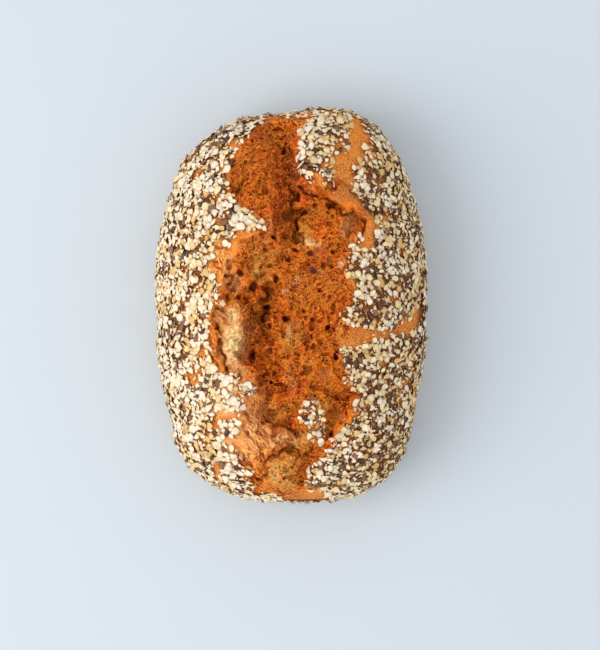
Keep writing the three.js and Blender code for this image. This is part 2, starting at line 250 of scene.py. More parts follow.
BARE_PATCHES = (
    [(-14, 97), (-14, 112), (14, 114), (13, 101), (7, 97), (4, 92), (4, 75), (-6, 75)],
    [(31, 102), (37, 99), (41, 91), (40, 78), (33, 71), (33, 62), (32, 58), (37, 51), (42, 45),
     (45, 38), (41, 33), (30, 36), (10, 66), (15, 66), (21, 61), (25, 67), (26, 77), (31, 86)],
    [(22, -8), (30, -13), (42, -14), (53, -12), (62, -7), (80, 3), (80, -3), (61, -13.5),
     (50, -17.5), (40, -19.5), (31, -21), (22, -24)],
    [(-20, -38), (-34, -43), (-39, -50), (-40, -60), (-40, -67), (-35, -73), (-32, -82),
     (-27, -88), (-21, -92), (-16, -101), (-8, -99), (-6, -78), (4, -78), (4, -68), (-6, -60)],
    [(-7, -100), (-7, -114), (26, -114), (22, -101), (8, -96)],
    [(-16, 38), (-26, 37), (-34, 35), (-38, 27), (-40.5, 17), (-41, 8), (-40.5, -4), (-42.5, -12),
     (-43.5, -22), (-41, -31), (-35, -37), (-26, -36), (-30, 0), (-24, 26)],
)

# Loose flakes that still lie on the bare crust, as places with reach and cover
SPARSE_PATCHES = (
    (25, 96, 7, 5, 0.55),
    (-36, -48, 6, 7, 0.60),
    (-30, -53, 6, 4, 0.80),
    (-24, -44, 5, 4, 0.75),
    (-32, -66, 5, 6, 0.50),
    (-31, -82, 5, 6, 0.55),
    (-25, -87, 5, 3, 0.35),
    (11, -57, 6, 7, 0.95),
    (14, -67, 4, 6, 0.95),
    (-24, 44, 5, 6, 0.95),
    (-39, 5, 3, 8, 0.60),
    (-34, 34, 4, 4, 0.70),
    (2, 101, 9, 4, 0.12),
    (36, 82, 4, 14, 0.03),
    (45, -16, 14, 3, 0.05),
)

# Stretches where the flakes lie in loose clumps with crust between: place, reach and strength
SCANT_PATCHES = (
    (25, 88, 10, 24, 0.72), (16, 101, 9, 6, 0.7), (50, -13, 24, 7, 0.6), (-36, 90, 13, 10, 0.55),
    (-34, -88, 12, 12, 0.5), (60, -42, 8, 14, 0.35), (-36, -60, 6, 14, 0.6), (40, 55, 5, 14, 0.5),
    (32, -70, 5, 12, 0.35), (-22, -100, 14, 5, 0.5), (-57, 40, 10, 14, 0.35), (34, 15, 4, 14, 0.35),
)

# Bare specks among the flakes of the flanks
THIN_PATCHES = (
    (-37, 56, 3, 4),
    (-54, 3, 4, 5),
    (-47, -37, 4, 4),
    (58, 17, 5, 3),
    (60, -45, 4, 6),
    (-52, -33, 5, 3),
    (44, 66, 4, 6),
    (50, 45, 4, 4),
    (-60, -75, 5, 4),
)

# Where dark flakes crowd among the pale ones: place, reach across and along, and strength
DARK_PATCHES = (
    (47, 66, 6, 6, 1.0), (43, 50, 7, 4, 0.9), (56, 45, 4, 7, 0.8), (66, 37, 4, 4, 0.6),
    (52, 11, 9, 6, 0.8), (47, 2, 7, 5, 0.9), (40, -6, 6, 5, 0.8), (35, 22, 4, 5, 0.6),
    (66, -20, 7, 8, 0.7), (35, -29, 7, 4, 0.8), (58, -36, 6, 5, 0.9), (40, -42, 5, 4, 0.8),
    (50, -50, 9, 5, 1.0), (47, -63, 5, 4, 0.8), (58, -60, 5, 12, 0.6), (50, -79, 9, 7, 1.0),
    (36, -68, 3, 8, 0.6), (15, -67, 4, 4, 1.0), (11, -57, 5, 3, 0.8), (18, -92, 6, 4, 0.7),
    (34, -88, 9, 6, 0.6), (35, -99, 4, 3, 0.7), (50, 30, 4, 3, 0.6), (66, 14, 4, 3, 0.5),
    (-38, 90, 6, 4, 0.8), (-49, 83, 3, 3, 0.6), (-45, 72, 4, 3, 0.6), (-36, 68, 5, 4, 0.7),
    (-62, 43, 4, 4, 0.5), (-43, 52, 5, 4, 0.5), (-33, 43, 3, 4, 0.9), (-57, 28, 6, 3, 0.5),
    (-43, 33, 3, 5, 0.5), (-66, 20, 4, 4, 0.5), (-60, -8, 5, 8, 0.5), (-53, -17, 3, 3, 0.6),
    (-58, -28, 4, 4, 0.5), (-47, -46, 3, 4, 0.8), (-66, -16, 4, 4, 0.5), (-44, -84, 5, 5, 0.3),
    (11, 75, 5, 4, 0.8), (16, 105, 5, 2, 0.5), (27, 82, 4, 4, 0.5), (-30, -99, 7, 3, 0.4),
)

# Tints of the crust by kind, as places with reach across and along, and strength. The pit tint is
# painted shade, and the red and olive tints are partly painted shade in hollows.
TINTS = {
    "cream": (
        (-30.4, -20, 5.8, 11.5, 1.4), (3, -74, 3, 3, 0.7), (-33, -6, 5, 4, 0.4), (-36, 24, 6, 12, 0.35),
        (-28, -35, 4, 4, 0.5), (-6, -90, 5, 3, 0.25), (11, 32, 5, 3, 0.7), (-3, 7, 2, 2, 0.8),
        (27, 21, 2, 2, 0.8), (1, -13, 2, 5, 0.5), (-34, -50, 8, 10, 0.7), (-26, -46, 8, 6, 0.7),
        (-20, -66, 9, 14, 0.6), (-33, -76, 6, 12, 0.5), (-7, -71, 6, 3, 0.7), (4, 11, 3, 2, 0.5),
        (-28, 11, 3, 5, 0.45), (30, 40, 4, 6, 0.5), (-13, 42, 3, 3, 0.5),
    ),
    "gold": (
        (-32, -5, 6, 5, 1.0), (-5, -91, 8.5, 8, 1.6), (6, -73, 5, 5, 1.1), (2, -76, 6, 2, 1.0),
        (-20, -68, 9, 14, 0.4), (-35, 22, 6, 11, 1.0), (-26, 34, 7, 4, 0.4), (-5, -88, 9, 10, 1.0),
        (-14, 18, 7, 7, 0.8), (-10, 26, 9, 4, 0.6), (1, -18, 6, 7, 0.6), (-37, -6, 4, 8, 0.8),
        (9, 37, 4, 4, 0.7), (-7, -56, 6, 6, 0.6), (8, -32, 3, 3, 0.5), (-25, 78, 8, 8, 0.35),
        (20, -60, 7, 9, 0.5), (8, -70, 6, 6, 0.6), (12, 50, 7, 4, 0.4), (34, 92, 5, 14, 0.4),
        (-40, -28, 4, 9, 0.6), (36, -45, 5, 6, 0.4),
    ),
    "pit": (
        (-38.5, -20, 1.5, 10, 1.0), (-11, -6, 6, 8, 1.0), (-4, -80, 7, 1.6, 1.3),
    ),
    "red": (
        (-38, -21, 2, 12, 1.0), (-23.4, -19, 3.0, 12, 1.3), (-7, -68, 6, 3, 0.6),
        (-24, -80.5, 2.0, 3.6, 1.3), (-17.5, -94, 2.2, 2.8, 1.3), (-25, -57.5, 1.5, 4, 1.0),
        (-24, -65, 2.8, 1.5, 1.0), (20, 59, 12, 5, 0.5), (37, 62, 6, 14, 0.3), (27, 53, 6, 5, 0.5),
        (34, 47, 4, 5, 0.45), (-12, -6, 7, 8, 0.9), (-20, 22, 9, 6, 0.7), (-35, 4, 3, 9, 0.9),
        (-33, -37, 7, 4, 0.9), (17, -19, 4, 8, 0.9), (24, -27, 3, 5, 0.8), (9, -82, 4, 10, 0.8),
        (5, 20, 9, 6, 0.5), (-21, -43, 7, 4, 0.8), (-34, 13, 3, 8, 1.0), (3, -4, 9, 5, 0.5),
        (-12, 72, 9, 4, 0.6), (-26, 66, 5, 5, 0.5), (-4, -71, 6, 4, 0.8), (0, -58, 5, 7, 0.5),
        (-14, 93, 6, 4, 0.6), (28, 48, 8, 4, 0.5), (22, -12, 4, 3, 0.9), (3, -38, 3, 5, 0.5),
        (-25, 3, 5, 5, 0.5), (-22, -30, 5, 6, 0.4),
    ),
    "olive": (
        (-12, 4, 6, 6, 1.0), (-12, -25, 5, 6, 0.8), (-1, 47, 4, 5, 0.7), (-2, 36, 3, 5, 0.6),
        (20, 53, 5, 4, 0.8), (-14, -8, 4, 8, 0.8), (-14, 60, 3, 4, 0.7), (-6, 91, 5, 4, 0.9),
        (-12, 28, 4, 3, 0.8), (8, -35, 4, 4, 0.5), (-12, -58, 4, 6, 0.8), (14, -44, 6, 3, 0.6),
        (11, -15, 2, 9, 0.6), (-17, 14, 4, 3, 0.7), (-32, 39, 2, 5, 0.8), (-38, -22, 2, 8, 0.7),
        (22, -62, 4, 6, 0.5),
    ),
    "burnt": (
        (3, 68, 4, 6, 1.0), (8, 79, 3, 5, 0.8), (10, 60, 5, 3, 0.9), (-9, 41, 3, 6, 0.9),
        (-14, 33, 4, 3, 0.7), (-15, 79, 3, 3, 0.7), (-1, -38, 3, 8, 0.9), (12, 26, 4, 3, 0.8),
        (-21, -12, 3, 9, 0.9), (13, 17, 4, 3, 0.7), (-5, 48, 3, 6, 0.4), (2, 10, 6, 5, 0.35),
        (-19, 30, 5, 3, 0.5), (25, 12, 5, 3, 0.3), (8, 9, 3, 4, 0.4),
    ),
}

# All kinds of tint. Tan is only found on the floors of pits.
TINT_KINDS = (*TINTS, "tan")

# Places where the torn crumb is smooth, with few pores
SMOOTH_PATCHES = (
    (20, 5, 11, 9), (-21, 80, 9, 12), (-29.5, -20, 6, 11.5), (20, -19, 5, 7), (18, -36, 5, 5),
    (-1, 47, 4, 5), (30, 40, 4, 6), (24, -44, 7, 4), (-28, 11, 3, 5),
)

# Places where the torn crumb is most open
AIRY_PATCHES = (
    (0, -15, 9, 12), (0, -38, 4, 8), (9, 44, 9, 7), (-4, -90, 9, 9), (-30, 4, 6, 8), (3, 19, 8, 6),
    (-18, 24, 9, 6), (2, -54, 8, 7), (-28, -36, 6, 5), (26, -52, 7, 6), (-14, 60, 8, 10),
    (24, 32, 6, 7), (8, -71, 5, 5),
)

# Bare crust round the tear that is frayed into fine webs and slits
FRAYED_PATCHES = (
    (-18, -62, 9, 14), (-14, -78, 8, 8), (-17, -93, 7, 7), (-24, -82, 6, 8), (-8, -101, 12, 4),
    (-40, -2, 4, 14), (-37, 24, 6, 8), (34, 44, 5, 6), (-41, -26, 4, 9), (-4, 97, 12, 5),
    (20, 62, 8, 4), (27, -12, 5, 6), (-26, -46, 6, 5), (-6, -71, 7.5, 4.5),
)

# Pale crumb that is drawn out into ribs across
RIBBED_PATCHES = (
    (-30.4, -20.5, 5.8, 11.5), (-31, -6, 4, 4),
)

# Which way strands of pulled crust run, as turns from the long axis in radians
FLAP_TURN = 0.61
TONGUE_TURN = 1.65
LOBE_TURN = -1.04

# Strands in the relief: the field that holds them, their turn, distance apart and rise in millimetres
STRANDS = (
    ("frayed", FLAP_TURN, 2.2, 0.38),
    ("ribbed", TONGUE_TURN, 2.0, 0.45),
    ("smooth", LOBE_TURN, 2.4, 0.42),
)

# Random lumps, as rows of amount, size in millimetres and seed
RAGGED_X = ((1.3, 5.0, 11), (0.6, 2.0, 12))
RAGGED_Y = ((1.3, 5.0, 13), (0.6, 2.0, 14))
AIRY_LUMPS = ((0.25, 8.0, 15),)
PIT_EDGES = ((0.13, 2.2, 16),)
COVER_CLUMPS = ((1.0, 3.2, 17),)
STRAND_WANDER = ((0.8, 4.5, 18),)
STRAND_BREAKS = ((1.0, 3.2, 19),)
CROWN_WAVES = ((0.5, 26.0, 21), (0.25, 9.0, 22))
SWAY_X = ((1.5, 6.0, 31), (0.7, 2.6, 32))
SWAY_Y = ((1.5, 6.0, 33), (0.7, 2.6, 34))
SKIN_WAVES = ((0.42, 3.4, 41), (0.28, 1.7, 42))
PORE_EDGES = ((0.28, 2.4, 54), (0.16, 1.2, 55))

# Cells of the torn crumb between thin walls: size and depth in millimetres, and seed. A cell has its
# full depth at this share of its size from the wall.
CELLS = ((5.6, 2.0, 46), (3.1, 1.0, 47), (1.8, 0.6, 48))
CELL_OPENING = 0.42

# Threads of crumb that wind over the tear: size and rise in millimetres, and seed, and how wide they
# are against the lumps they follow
THREADS = ((4.2, 1.0, 49), (2.5, 0.6, 50))
THREAD_WIDTH = 0.24

# Small pores: how many and their smallest and largest radius, where they may lie and how soft their
# rim is, in millimetres, how many places are tried for each, and the gap to others in radii
PORE_SIZES = ((26, 1.4, 2.2), (50, 0.8, 1.3))
PORE_ROOM = ((-42, -101), (38, 99))
PORE_RIM = 0.35
PORE_TRIES = 12
PORE_GAP = 0.82
PORE_PLACE_SEED = 51
PORE_SHAPE_SEED = 52

# Range of a small pore's sink and depth as shares of its radius, and of its stretch along the loaf
PORE_SINK = (-0.35, 0.55)
PORE_DEPTH = (0.9, 1.5)
PORE_STRETCH = (0.8, 1.35)

# Painted highlight on the rim of a pit: how bright it is, its place as a share of the pit's radius, and
# its width likewise
PIT_RIM_LIGHT = 0.55
PIT_RIM_PLACE = 1.1
PIT_RIM_WIDTH = 0.13

# Width of the painted highlight along the edge of a fold, in millimetres
FOLD_RIM_WIDTH = 0.85

# How much smooth patches and the floors of pits calm the torn crumb, how rough frayed crust is
# against it, the share of the waves that all skin has, and the least depth of a cell
SMOOTH_CALM = 0.75
FLOOR_CALM = 0.8
FRAYED_ROUGHNESS = 0.28
COMMON_WAVES = 0.12
LEAST_CELL = 0.15

# Depth of the step from the crust down to the torn crumb
TEAR_STEP = 1.2

# How open the torn crumb is where no patch says more: common share and least share
AIRY_COMMON = 0.6
AIRY_LEAST = 0.35

# Share of dark flakes all over the flanks, and what the right flank has on top of that
DARK_COMMON = 0.04
DARK_AT_RIGHT = 0.07

# Cover of the single flakes that lie anywhere on the bare crust
STRAY_COVER = 0.0015

# How finely the loaf is sampled in the fine zone and how coarsely far from it, how fast the cells grow
# between, and the zone and the whole room from low to high along each axis, in millimetres
FINE_CELL = 0.48
COARSE_CELL = 1.5
CELL_GROWTH = 1.12
FINE_ZONE = ((-45.0, 39.0), (-103.0, 101.0), (48.0, 82.0))
ROOM = ((-77.0, 77.0), (-110.0, 110.0), (-3.0, 84.0))

# Folds may hang over from this far under the fine zone, and the field is held within a limit, both
# in millimetres
SWAY_MARGIN = 6
FIELD_LIMIT = 6

# Crumb is roughened this near its skin, in millimetres
ROUGH_REACH = 3.2

# Skin under this height belongs to the flat base, in millimetres
BASE_SKIN = 0.06

# Attributes that say how far the skin lies under the blurred crown: name, reach of the blur in cells,
# depth in millimetres that counts as 1, and the least and most that is kept
DEPTHS = (("deep", 16, 6.0, -1, 2), ("low", 4, 0.9, -2, 3))

# Heights in millimetres between which the looks of the flanks give way to those of the crown
CROWN_FADE = (20.0, 34.0)

# Share of the outline inside which the top of the loaf is taken from the field
CROWN_SHARE = 0.97

# A cell and all those round it
NEIGHBOURS = tuple(product((-1, 0, 1), repeat=3))


# Colours and number helpers


def linear(red, green, blue):
    """A screen colour from 0 to 255 as the scene's linear red, green and blue."""
    shares = [value / 255 for value in (red, green, blue)]
    return tuple(s / 12.92 if s <= 0.04045 else ((s + 0.055) / 1.055) ** 2.4 for s in shares)


def smooth_step(low, high, value):
    """0 under low, 1 over high, and a soft curve between them."""
    share = np.clip((value - low) / (high - low), 0, 1)
    return share * share * (3 - 2 * share)


def soft_spot(x, y, spot_x, spot_y, across, along):
    """1 in the middle of an oval spot, falling softly to 0 round it."""
    away = ((x - spot_x) / across) ** 2 + ((y - spot_y) / along) ** 2
    return np.exp(-away ** 1.5)


def line_distance(x, y, line):
    """Distance from each place to the nearest stretch of a line."""
    nearest = np.full(x.shape, np.inf, np.float32)
    for (start_x, start_y), (end_x, end_y) in zip(line, line[1:]):
        run_x = end_x - start_x
        run_y = end_y - start_y
        along = ((x - start_x) * run_x + (y - start_y) * run_y) / (run_x ** 2 + run_y ** 2)
        held = np.clip(along, 0, 1)
        nearest = np.minimum(nearest, np.hypot(x - start_x - held * run_x, y - start_y - held * run_y))
    return nearest


def patch_distance(x, y, corners):
    """Signed distance to a closed outline, negative inside it."""
    closed = corners + corners[:1]
    inside = np.zeros(x.shape, bool)
    for (start_x, start_y), (end_x, end_y) in zip(closed, closed[1:]):
        if start_y == end_y:
            continue
        crossing = start_x + (y - start_y) * (end_x - start_x) / (end_y - start_y)
        inside ^= ((start_y > y) != (end_y > y)) & (x < crossing)
    distance = line_distance(x, y, closed)
    return np.where(inside, -distance, distance)


def lumps(lines, size, seed):
    """Smooth random field over the crossing of two or three rows of lines, of spread 1."""
    places = [(row - row[0]) / size for row in lines]
    firsts = [np.floor(place).astype(int) for place in places]
    rng = np.random.default_rng(seed)
    field = rng.standard_normal([first[-1] + 4 for first in firsts]).astype(np.float32)
    for axis, (place, first) in enumerate(zip(places, firsts)):
        part = place - first
        shares = (
            (1 - part) ** 3 / 6,
            (3 * part ** 3 - 6 * part ** 2 + 4) / 6,
            (-3 * part ** 3 + 3 * part ** 2 + 3 * part + 1) / 6,
            part ** 3 / 6,
        )
        stretched = 0
        for step, share in enumerate(shares):
            share = share.astype(np.float32).reshape([-1 if i == axis else 1 for i in range(field.ndim)])
            stretched = stretched + share * np.take(field, first + step, axis)
        field = stretched
    return field / field.std()


def with_lumps(field, lines, rows):
    """A field or number with rows of random lumps added to it in turn."""
    for amount, size, seed in rows:
        field = field + amount * lumps(lines, size, seed)
    return field


def grown_lines(low, high, fine_low, fine_high):
    """Lines between low and high, fine in the fine stretch and coarser away from it."""
    middle = np.arange(fine_low, fine_high + FINE_CELL / 2, FINE_CELL)

    def outwards(start, end):
        steps = []
        place = start
        step = FINE_CELL
        while place < end:
            step = min(step * CELL_GROWTH, COARSE_CELL)
            place += step
            steps.append(place)
        return np.array(steps)

    after = outwards(middle[-1], high)
    before = -outwards(-middle[0], -low)[::-1]
    return np.concatenate([before, middle, after]).astype(np.float32)


# The plan of the loaf: what lies where as seen from above


def outline_radius(theta):
    """Distance from the axis to the widest outline in each direction."""
    across = (np.abs(np.cos(theta)) / HALF_WIDTH) ** OUTLINE_POWER
    along = (np.abs(np.sin(theta)) / HALF_LENGTH) ** OUTLINE_POWER
    radius = (across + along) ** (-1 / OUTLINE_POWER)
    for degrees, spread, out in OUTLINE_SWELLS:
        away = (theta - math.radians(degrees) + math.pi) % (2 * math.pi) - math.pi
        radius = radius + out * np.exp(-(away / math.radians(spread)) ** 2)
    return radius - TOPPING_DEPTH


class Plan:
    """Heights and covers of the loaf on a grid of places seen from above, in millimetres."""

    def __init__(self, lines_x, lines_y):
        self.lines = (lines_x, lines_y)
        self.x, self.y = np.meshgrid(lines_x, lines_y, indexing="ij")
        theta = np.arctan2(self.y, self.x)
        self.share = np.hypot(self.x, self.y) / outline_radius(theta)
        self.power = CROWN_POWER_ACROSS + (CROWN_POWER_ALONG - CROWN_POWER_ACROSS) * np.sin(theta) ** 2
        left = np.clip(1 - self.share ** self.power, 0, 1)
        self.crown = WAIST_HEIGHT + (CROWN_HEIGHT - WAIST_HEIGHT) * left ** (1 / SHOULDER_POWER)
        self.ragged_x = with_lumps(self.x, self.lines, RAGGED_X)
        self.ragged_y = with_lumps(self.y, self.lines, RAGGED_Y)
        self.from_tear = patch_distance(self.ragged_x, self.ragged_y, TEAR)
        self.torn = smooth_step(0.8, -0.8, self.from_tear)
        self.smooth = self.spots(SMOOTH_PATCHES)
        self.frayed = self.spots(FRAYED_PATCHES)
        self.ribbed = self.spots(RIBBED_PATCHES)
        self.relief = self.heights() * smooth_step(1.0, 0.86, self.share)
        common = np.clip(with_lumps(AIRY_COMMON, self.lines, AIRY_LUMPS), AIRY_LEAST, 1)
        self.airy = np.maximum(self.spots(AIRY_PATCHES), common)
        self.uneven = with_lumps(0.0, self.lines, PIT_EDGES)
        self.floors = {}
        self.floor = np.zeros_like(self.x)
        for pit in PITS:
            self.add_floor(pit)
        self.topping = self.cover()
        dark = DARK_COMMON + DARK_AT_RIGHT * smooth_step(20, 50, self.x)
        self.dark = np.maximum(dark, self.spots(DARK_PATCHES, ragged=True))

    def add_floor(self, pit):
        """Tints the floor of a pit and gives its rim a painted highlight."""
        away = np.hypot((self.x - pit.x) / pit.across, (self.y - pit.y) / pit.along) + self.uneven
        floor = smooth_step(1.0, 0.65, away)
        self.floor = np.maximum(self.floor, floor)
        rim = PIT_RIM_LIGHT * np.exp(-((away - PIT_RIM_PLACE) / PIT_RIM_WIDTH) ** 2)
        self.rim = np.maximum(self.rim, rim)
        tint = self.floors.setdefault(pit.floor, np.zeros_like(self.x))
        np.maximum(tint, floor, out=tint)

    def spots(self, places, ragged=False):
        """The strongest of several soft spots at each place, at their own strengths if they have any."""
        x, y = (self.ragged_x, self.ragged_y) if ragged else (self.x, self.y)
        found = np.zeros_like(self.x)
        for spot_x, spot_y, across, along, *strength in places:
            spot = soft_spot(x, y, spot_x, spot_y, across, along)
            for most in strength:
                spot = most * spot
            found = np.maximum(found, spot)
        return found

    def heights(self):
        """Folds of the crown, the step down into the tear, strands and slow waves of the crust."""
        self.rim = np.zeros_like(self.x)
        height = with_lumps(0.0, self.lines, CROWN_WAVES)
        height -= TEAR_STEP * smooth_step(1.5, -2.5, self.from_tear)
        for field, turn, apart, rise in STRANDS:
            height += self.strands(getattr(self, field), turn, apart, rise)
        for fold in FOLDS:
            away = line_distance(self.ragged_x, self.ragged_y, fold.line)
            height += fold.rise * np.exp(-2 * (np.clip(away - fold.flat, 0, None) / fold.reach) ** 2)
            if fold.rim:
                self.rim = np.maximum(self.rim, fold.rim * np.exp(-(away / FOLD_RIM_WIDTH) ** 2))
        return height

    def strands(self, where, turn, apart, rise):
        """Height of long strands side by side, which run along Y turned by an angle."""
        across = self.ragged_x * math.cos(turn) + self.ragged_y * math.sin(turn)
        wander = with_lumps(0.0, self.lines, STRAND_WANDER)
        strength = where * smooth_step(-1.2, 0.8, with_lumps(0.0, self.lines, STRAND_BREAKS))
        return rise * strength * np.sin((across + wander) * 2 * math.pi / apart)

    def cover(self):
        """How densely flakes lie: 1 all over the flanks and 0 on torn and bare crust."""
        bare = self.from_tear
        for patch in BARE_PATCHES:
            bare = np.minimum(bare, patch_distance(self.ragged_x, self.ragged_y, patch))
        clumps = with_lumps(0.0, self.lines, COVER_CLUMPS)
        cover = np.maximum(smooth_step(0.3, 1.5, bare + 0.9 * clumps), STRAY_COVER * (1 - self.torn))
        scant = self.spots(SCANT_PATCHES)
        cover *= 1 - 0.95 * smooth_step(1.7, 2.1, clumps + 1.8 * scant)
        for spot_x, spot_y, across, along, most in SPARSE_PATCHES:
            spot = soft_spot(self.x, self.y, spot_x, spot_y, across, along)
            cover = np.maximum(cover, most * smooth_step(0.2, 0.6, spot))
        for spot in THIN_PATCHES:
            cover *= 1 - 0.8 * soft_spot(self.ragged_x, self.ragged_y, *spot)
        return cover

    def tint(self, kind):
        """Strength of one kind of tint at each place."""
        spots = self.spots(TINTS.get(kind, ()), ragged=True)
        return np.maximum(self.floors.get(kind, 0.0), spots)

    def read(self, field, x, y):
        """A field of the plan at any places, straight between its lines."""
        column = np.interp(x, self.lines[0], np.arange(len(self.lines[0])))
        row = np.interp(y, self.lines[1], np.arange(len(self.lines[1])))
        left = np.minimum(column.astype(int), len(self.lines[0]) - 2)
        under = np.minimum(row.astype(int), len(self.lines[1]) - 2)
        part_x = column - left
        part_y = row - under
        low = field[left, under] * (1 - part_x) + field[left + 1, under] * part_x
        high = field[left, under + 1] * (1 - part_x) + field[left + 1, under + 1] * part_x
        return low * (1 - part_y) + high * part_y


# The body of the loaf as a field: negative inside, in millimetres from the surface


def cell_walls(places, size, seed):
    """Distance from each place to the wall of its random cell, and a chance drawn for the cell."""
    places = (places / size).astype(np.float32)
    places -= np.floor(places.min(0)) - 1
    home = np.floor(places).astype(np.int32)
    shape = home.max(0) + 2
    strides = (shape[1] * shape[2], shape[2], 1)
    rng = np.random.default_rng(seed)
    middles = rng.uniform(0.1, 0.9, (shape.prod(), 3)).astype(np.float32)
    chances = rng.random(shape.prod()).astype(np.float32)
    row = home @ strides
    corner = home - places
    nearest = np.full(len(places), 99.0, np.float32)
    second = nearest.copy()
    owner = np.zeros(len(places), np.int32)
    for offset in NEIGHBOURS:
        index = row + int(np.dot(offset, strides))
        run = corner + middles[index] + np.array(offset, np.float32)
        away = np.einsum("ij,ij->i", run, run)
        closer = away < nearest
        second = np.where(closer, nearest, np.minimum(second, away))
        nearest = np.where(closer, away, nearest)
        owner = np.where(closer, index, owner)
    return (np.sqrt(second) - np.sqrt(nearest)) * size, chances[owner]


def body_field(plan, lines):
    """Distance to the loaf's skin at each crossing of the lines, with folds that hang over."""
    heights = lines[2]
    sway_x = with_lumps(0.0, lines, SWAY_X)
    sway_y = with_lumps(0.0, lines, SWAY_Y)
    field = np.empty([len(row) for row in lines], np.float32)
    rise = CROWN_HEIGHT - WAIST_HEIGHT
    side = np.clip((plan.share - BASE_SHARE) / (1 - BASE_SHARE), 0, None) ** UNDERSIDE_POWER
    round_top = plan.share ** plan.power
    for level, height in enumerate(heights):
        if height > WAIST_HEIGHT:
            relief = plan.relief
            if height > FINE_ZONE[2][0] - SWAY_MARGIN:
                sway = plan.torn[:, :, None] * np.stack([sway_x[:, :, level], sway_y[:, :, level]], 2)
                relief = plan.read(plan.relief, plan.x + sway[:, :, 0], plan.y + sway[:, :, 1])
            up = np.clip((height - relief - WAIST_HEIGHT) / rise, 0, None)
            field[:, :, level] = up ** SHOULDER_POWER + round_top - 1
        else:
            down = (WAIST_HEIGHT - height) / WAIST_HEIGHT
            field[:, :, level] = side + down ** UNDERSIDE_POWER - 1
    slope = np.sqrt(sum(part ** 2 for part in np.gradient(field, *lines)))
    field = np.clip(field / np.maximum(slope, 1e-4), -FIELD_LIMIT, FIELD_LIMIT)
    rough = plan.torn * (1 - SMOOTH_CALM * plan.smooth) * (1 - FLOOR_CALM * plan.floor) * plan.airy
    rough = np.maximum(rough, FRAYED_ROUGHNESS * plan.frayed)
    waves = with_lumps(0.0, lines, SKIN_WAVES)
    share = COMMON_WAVES + (1 - COMMON_WAVES) * rough
    field += waves * share[:, :, None] * smooth_step(2.0, 12.0, heights)
    for size, rise, seed in THREADS:
        thread = np.exp(-(lumps(lines, size, seed) / THREAD_WIDTH) ** 2)
        field -= rise * thread * (rough ** 0.7)[:, :, None] * smooth_step(48.0, 54.0, heights)

    near = np.abs(field) < ROUGH_REACH
    at = np.nonzero(near & (rough > 0.02)[:, :, None] & (heights > WAIST_HEIGHT))
    places = np.stack([row[index] for row, index in zip(lines, at)], 1)
    places[:, 0] += 0.5 * sway_x[at]
    places[:, 1] += 0.5 * sway_y[at]
    sunk = np.zeros(len(places), np.float32)
    for size, depth, seed in CELLS:
        wall, chance = cell_walls(places, size, seed)
        opening = smooth_step(0.0, CELL_OPENING * size, wall)
        sunk += depth * opening * (LEAST_CELL + (1 - LEAST_CELL) * chance ** 1.5)
    field[at] += sunk * rough[at[:2]]
    return field


def carve(field, lines, ragged, middle, radii):
    """Hollows out an uneven oval pore with a slightly rounded rim."""
    spans = []
    for row, place, radius in zip(lines, middle, radii):
        ends = np.searchsorted(row, (place - radius - 1, place + radius + 1))
        spans.append(slice(*ends))
    part = field[tuple(spans)]
    if part.size == 0:
        return
    across, along, up = (
        (row[span] - place) / radius for row, span, place, radius in zip(lines, spans, middle, radii))
    far = np.sqrt(across[:, None, None] ** 2 + along[None, :, None] ** 2 + up[None, None, :] ** 2)
    hollow = (1 - far - ragged[tuple(spans)]) * min(radii)
    blend = np.clip(PORE_RIM - np.abs(part - hollow), 0, None) / PORE_RIM
    field[tuple(spans)] = np.maximum(part, hollow) + blend ** 2 * PORE_RIM / 4


def scatter_pores(plan):
    """Places and sizes of the pores of the torn crumb, the largest first and none on another."""
    rng = np.random.default_rng(PORE_PLACE_SEED)
    placed = np.zeros((0, 3))
    open_crumb = plan.torn * (1 - 0.9 * plan.smooth) * (1 - plan.floor)
    for count, smallest, largest in PORE_SIZES:
        tries = rng.uniform(*PORE_ROOM, (count * PORE_TRIES, 2))
        keep = plan.read(open_crumb, tries[:, 0], tries[:, 1])
        tries = tries[rng.random(len(tries)) < keep]
        made = 0
        for place in tries:
            radius = rng.uniform(smallest, largest)
            room = np.hypot(placed[:, 0] - place[0], placed[:, 1] - place[1]) - placed[:, 2]
            if len(room) and room.min() < radius * PORE_GAP:
                continue
            placed = np.vstack([placed, (*place, radius)])
            made += 1
            if made == count:
                break
    return placed


def carve_pores(field, lines, plan):
    """Carves the large pits of the tear at their listed places, and the small pores by chance."""
    top = plan.crown + plan.relief
    ragged = with_lumps(0.0, lines, PORE_EDGES)
    for pit in PITS:
        height = plan.read(top, np.array([pit.x]), np.array([pit.y]))[0] - pit.sink
        carve(field, lines, ragged, (pit.x, pit.y, height), (pit.across, pit.along, pit.deep))
    rng = np.random.default_rng(PORE_SHAPE_SEED)
    pores = scatter_pores(plan)
    heights = plan.read(top, pores[:, 0], pores[:, 1])
    for (x, y, radius), height in zip(pores, heights):
        sink = radius * rng.uniform(*PORE_SINK)
        stretch = rng.uniform(*PORE_STRETCH)
        radii = (radius / stretch, radius * stretch, radius * rng.uniform(*PORE_DEPTH))
        carve(field, lines, ragged, (x, y, height - sink), radii)


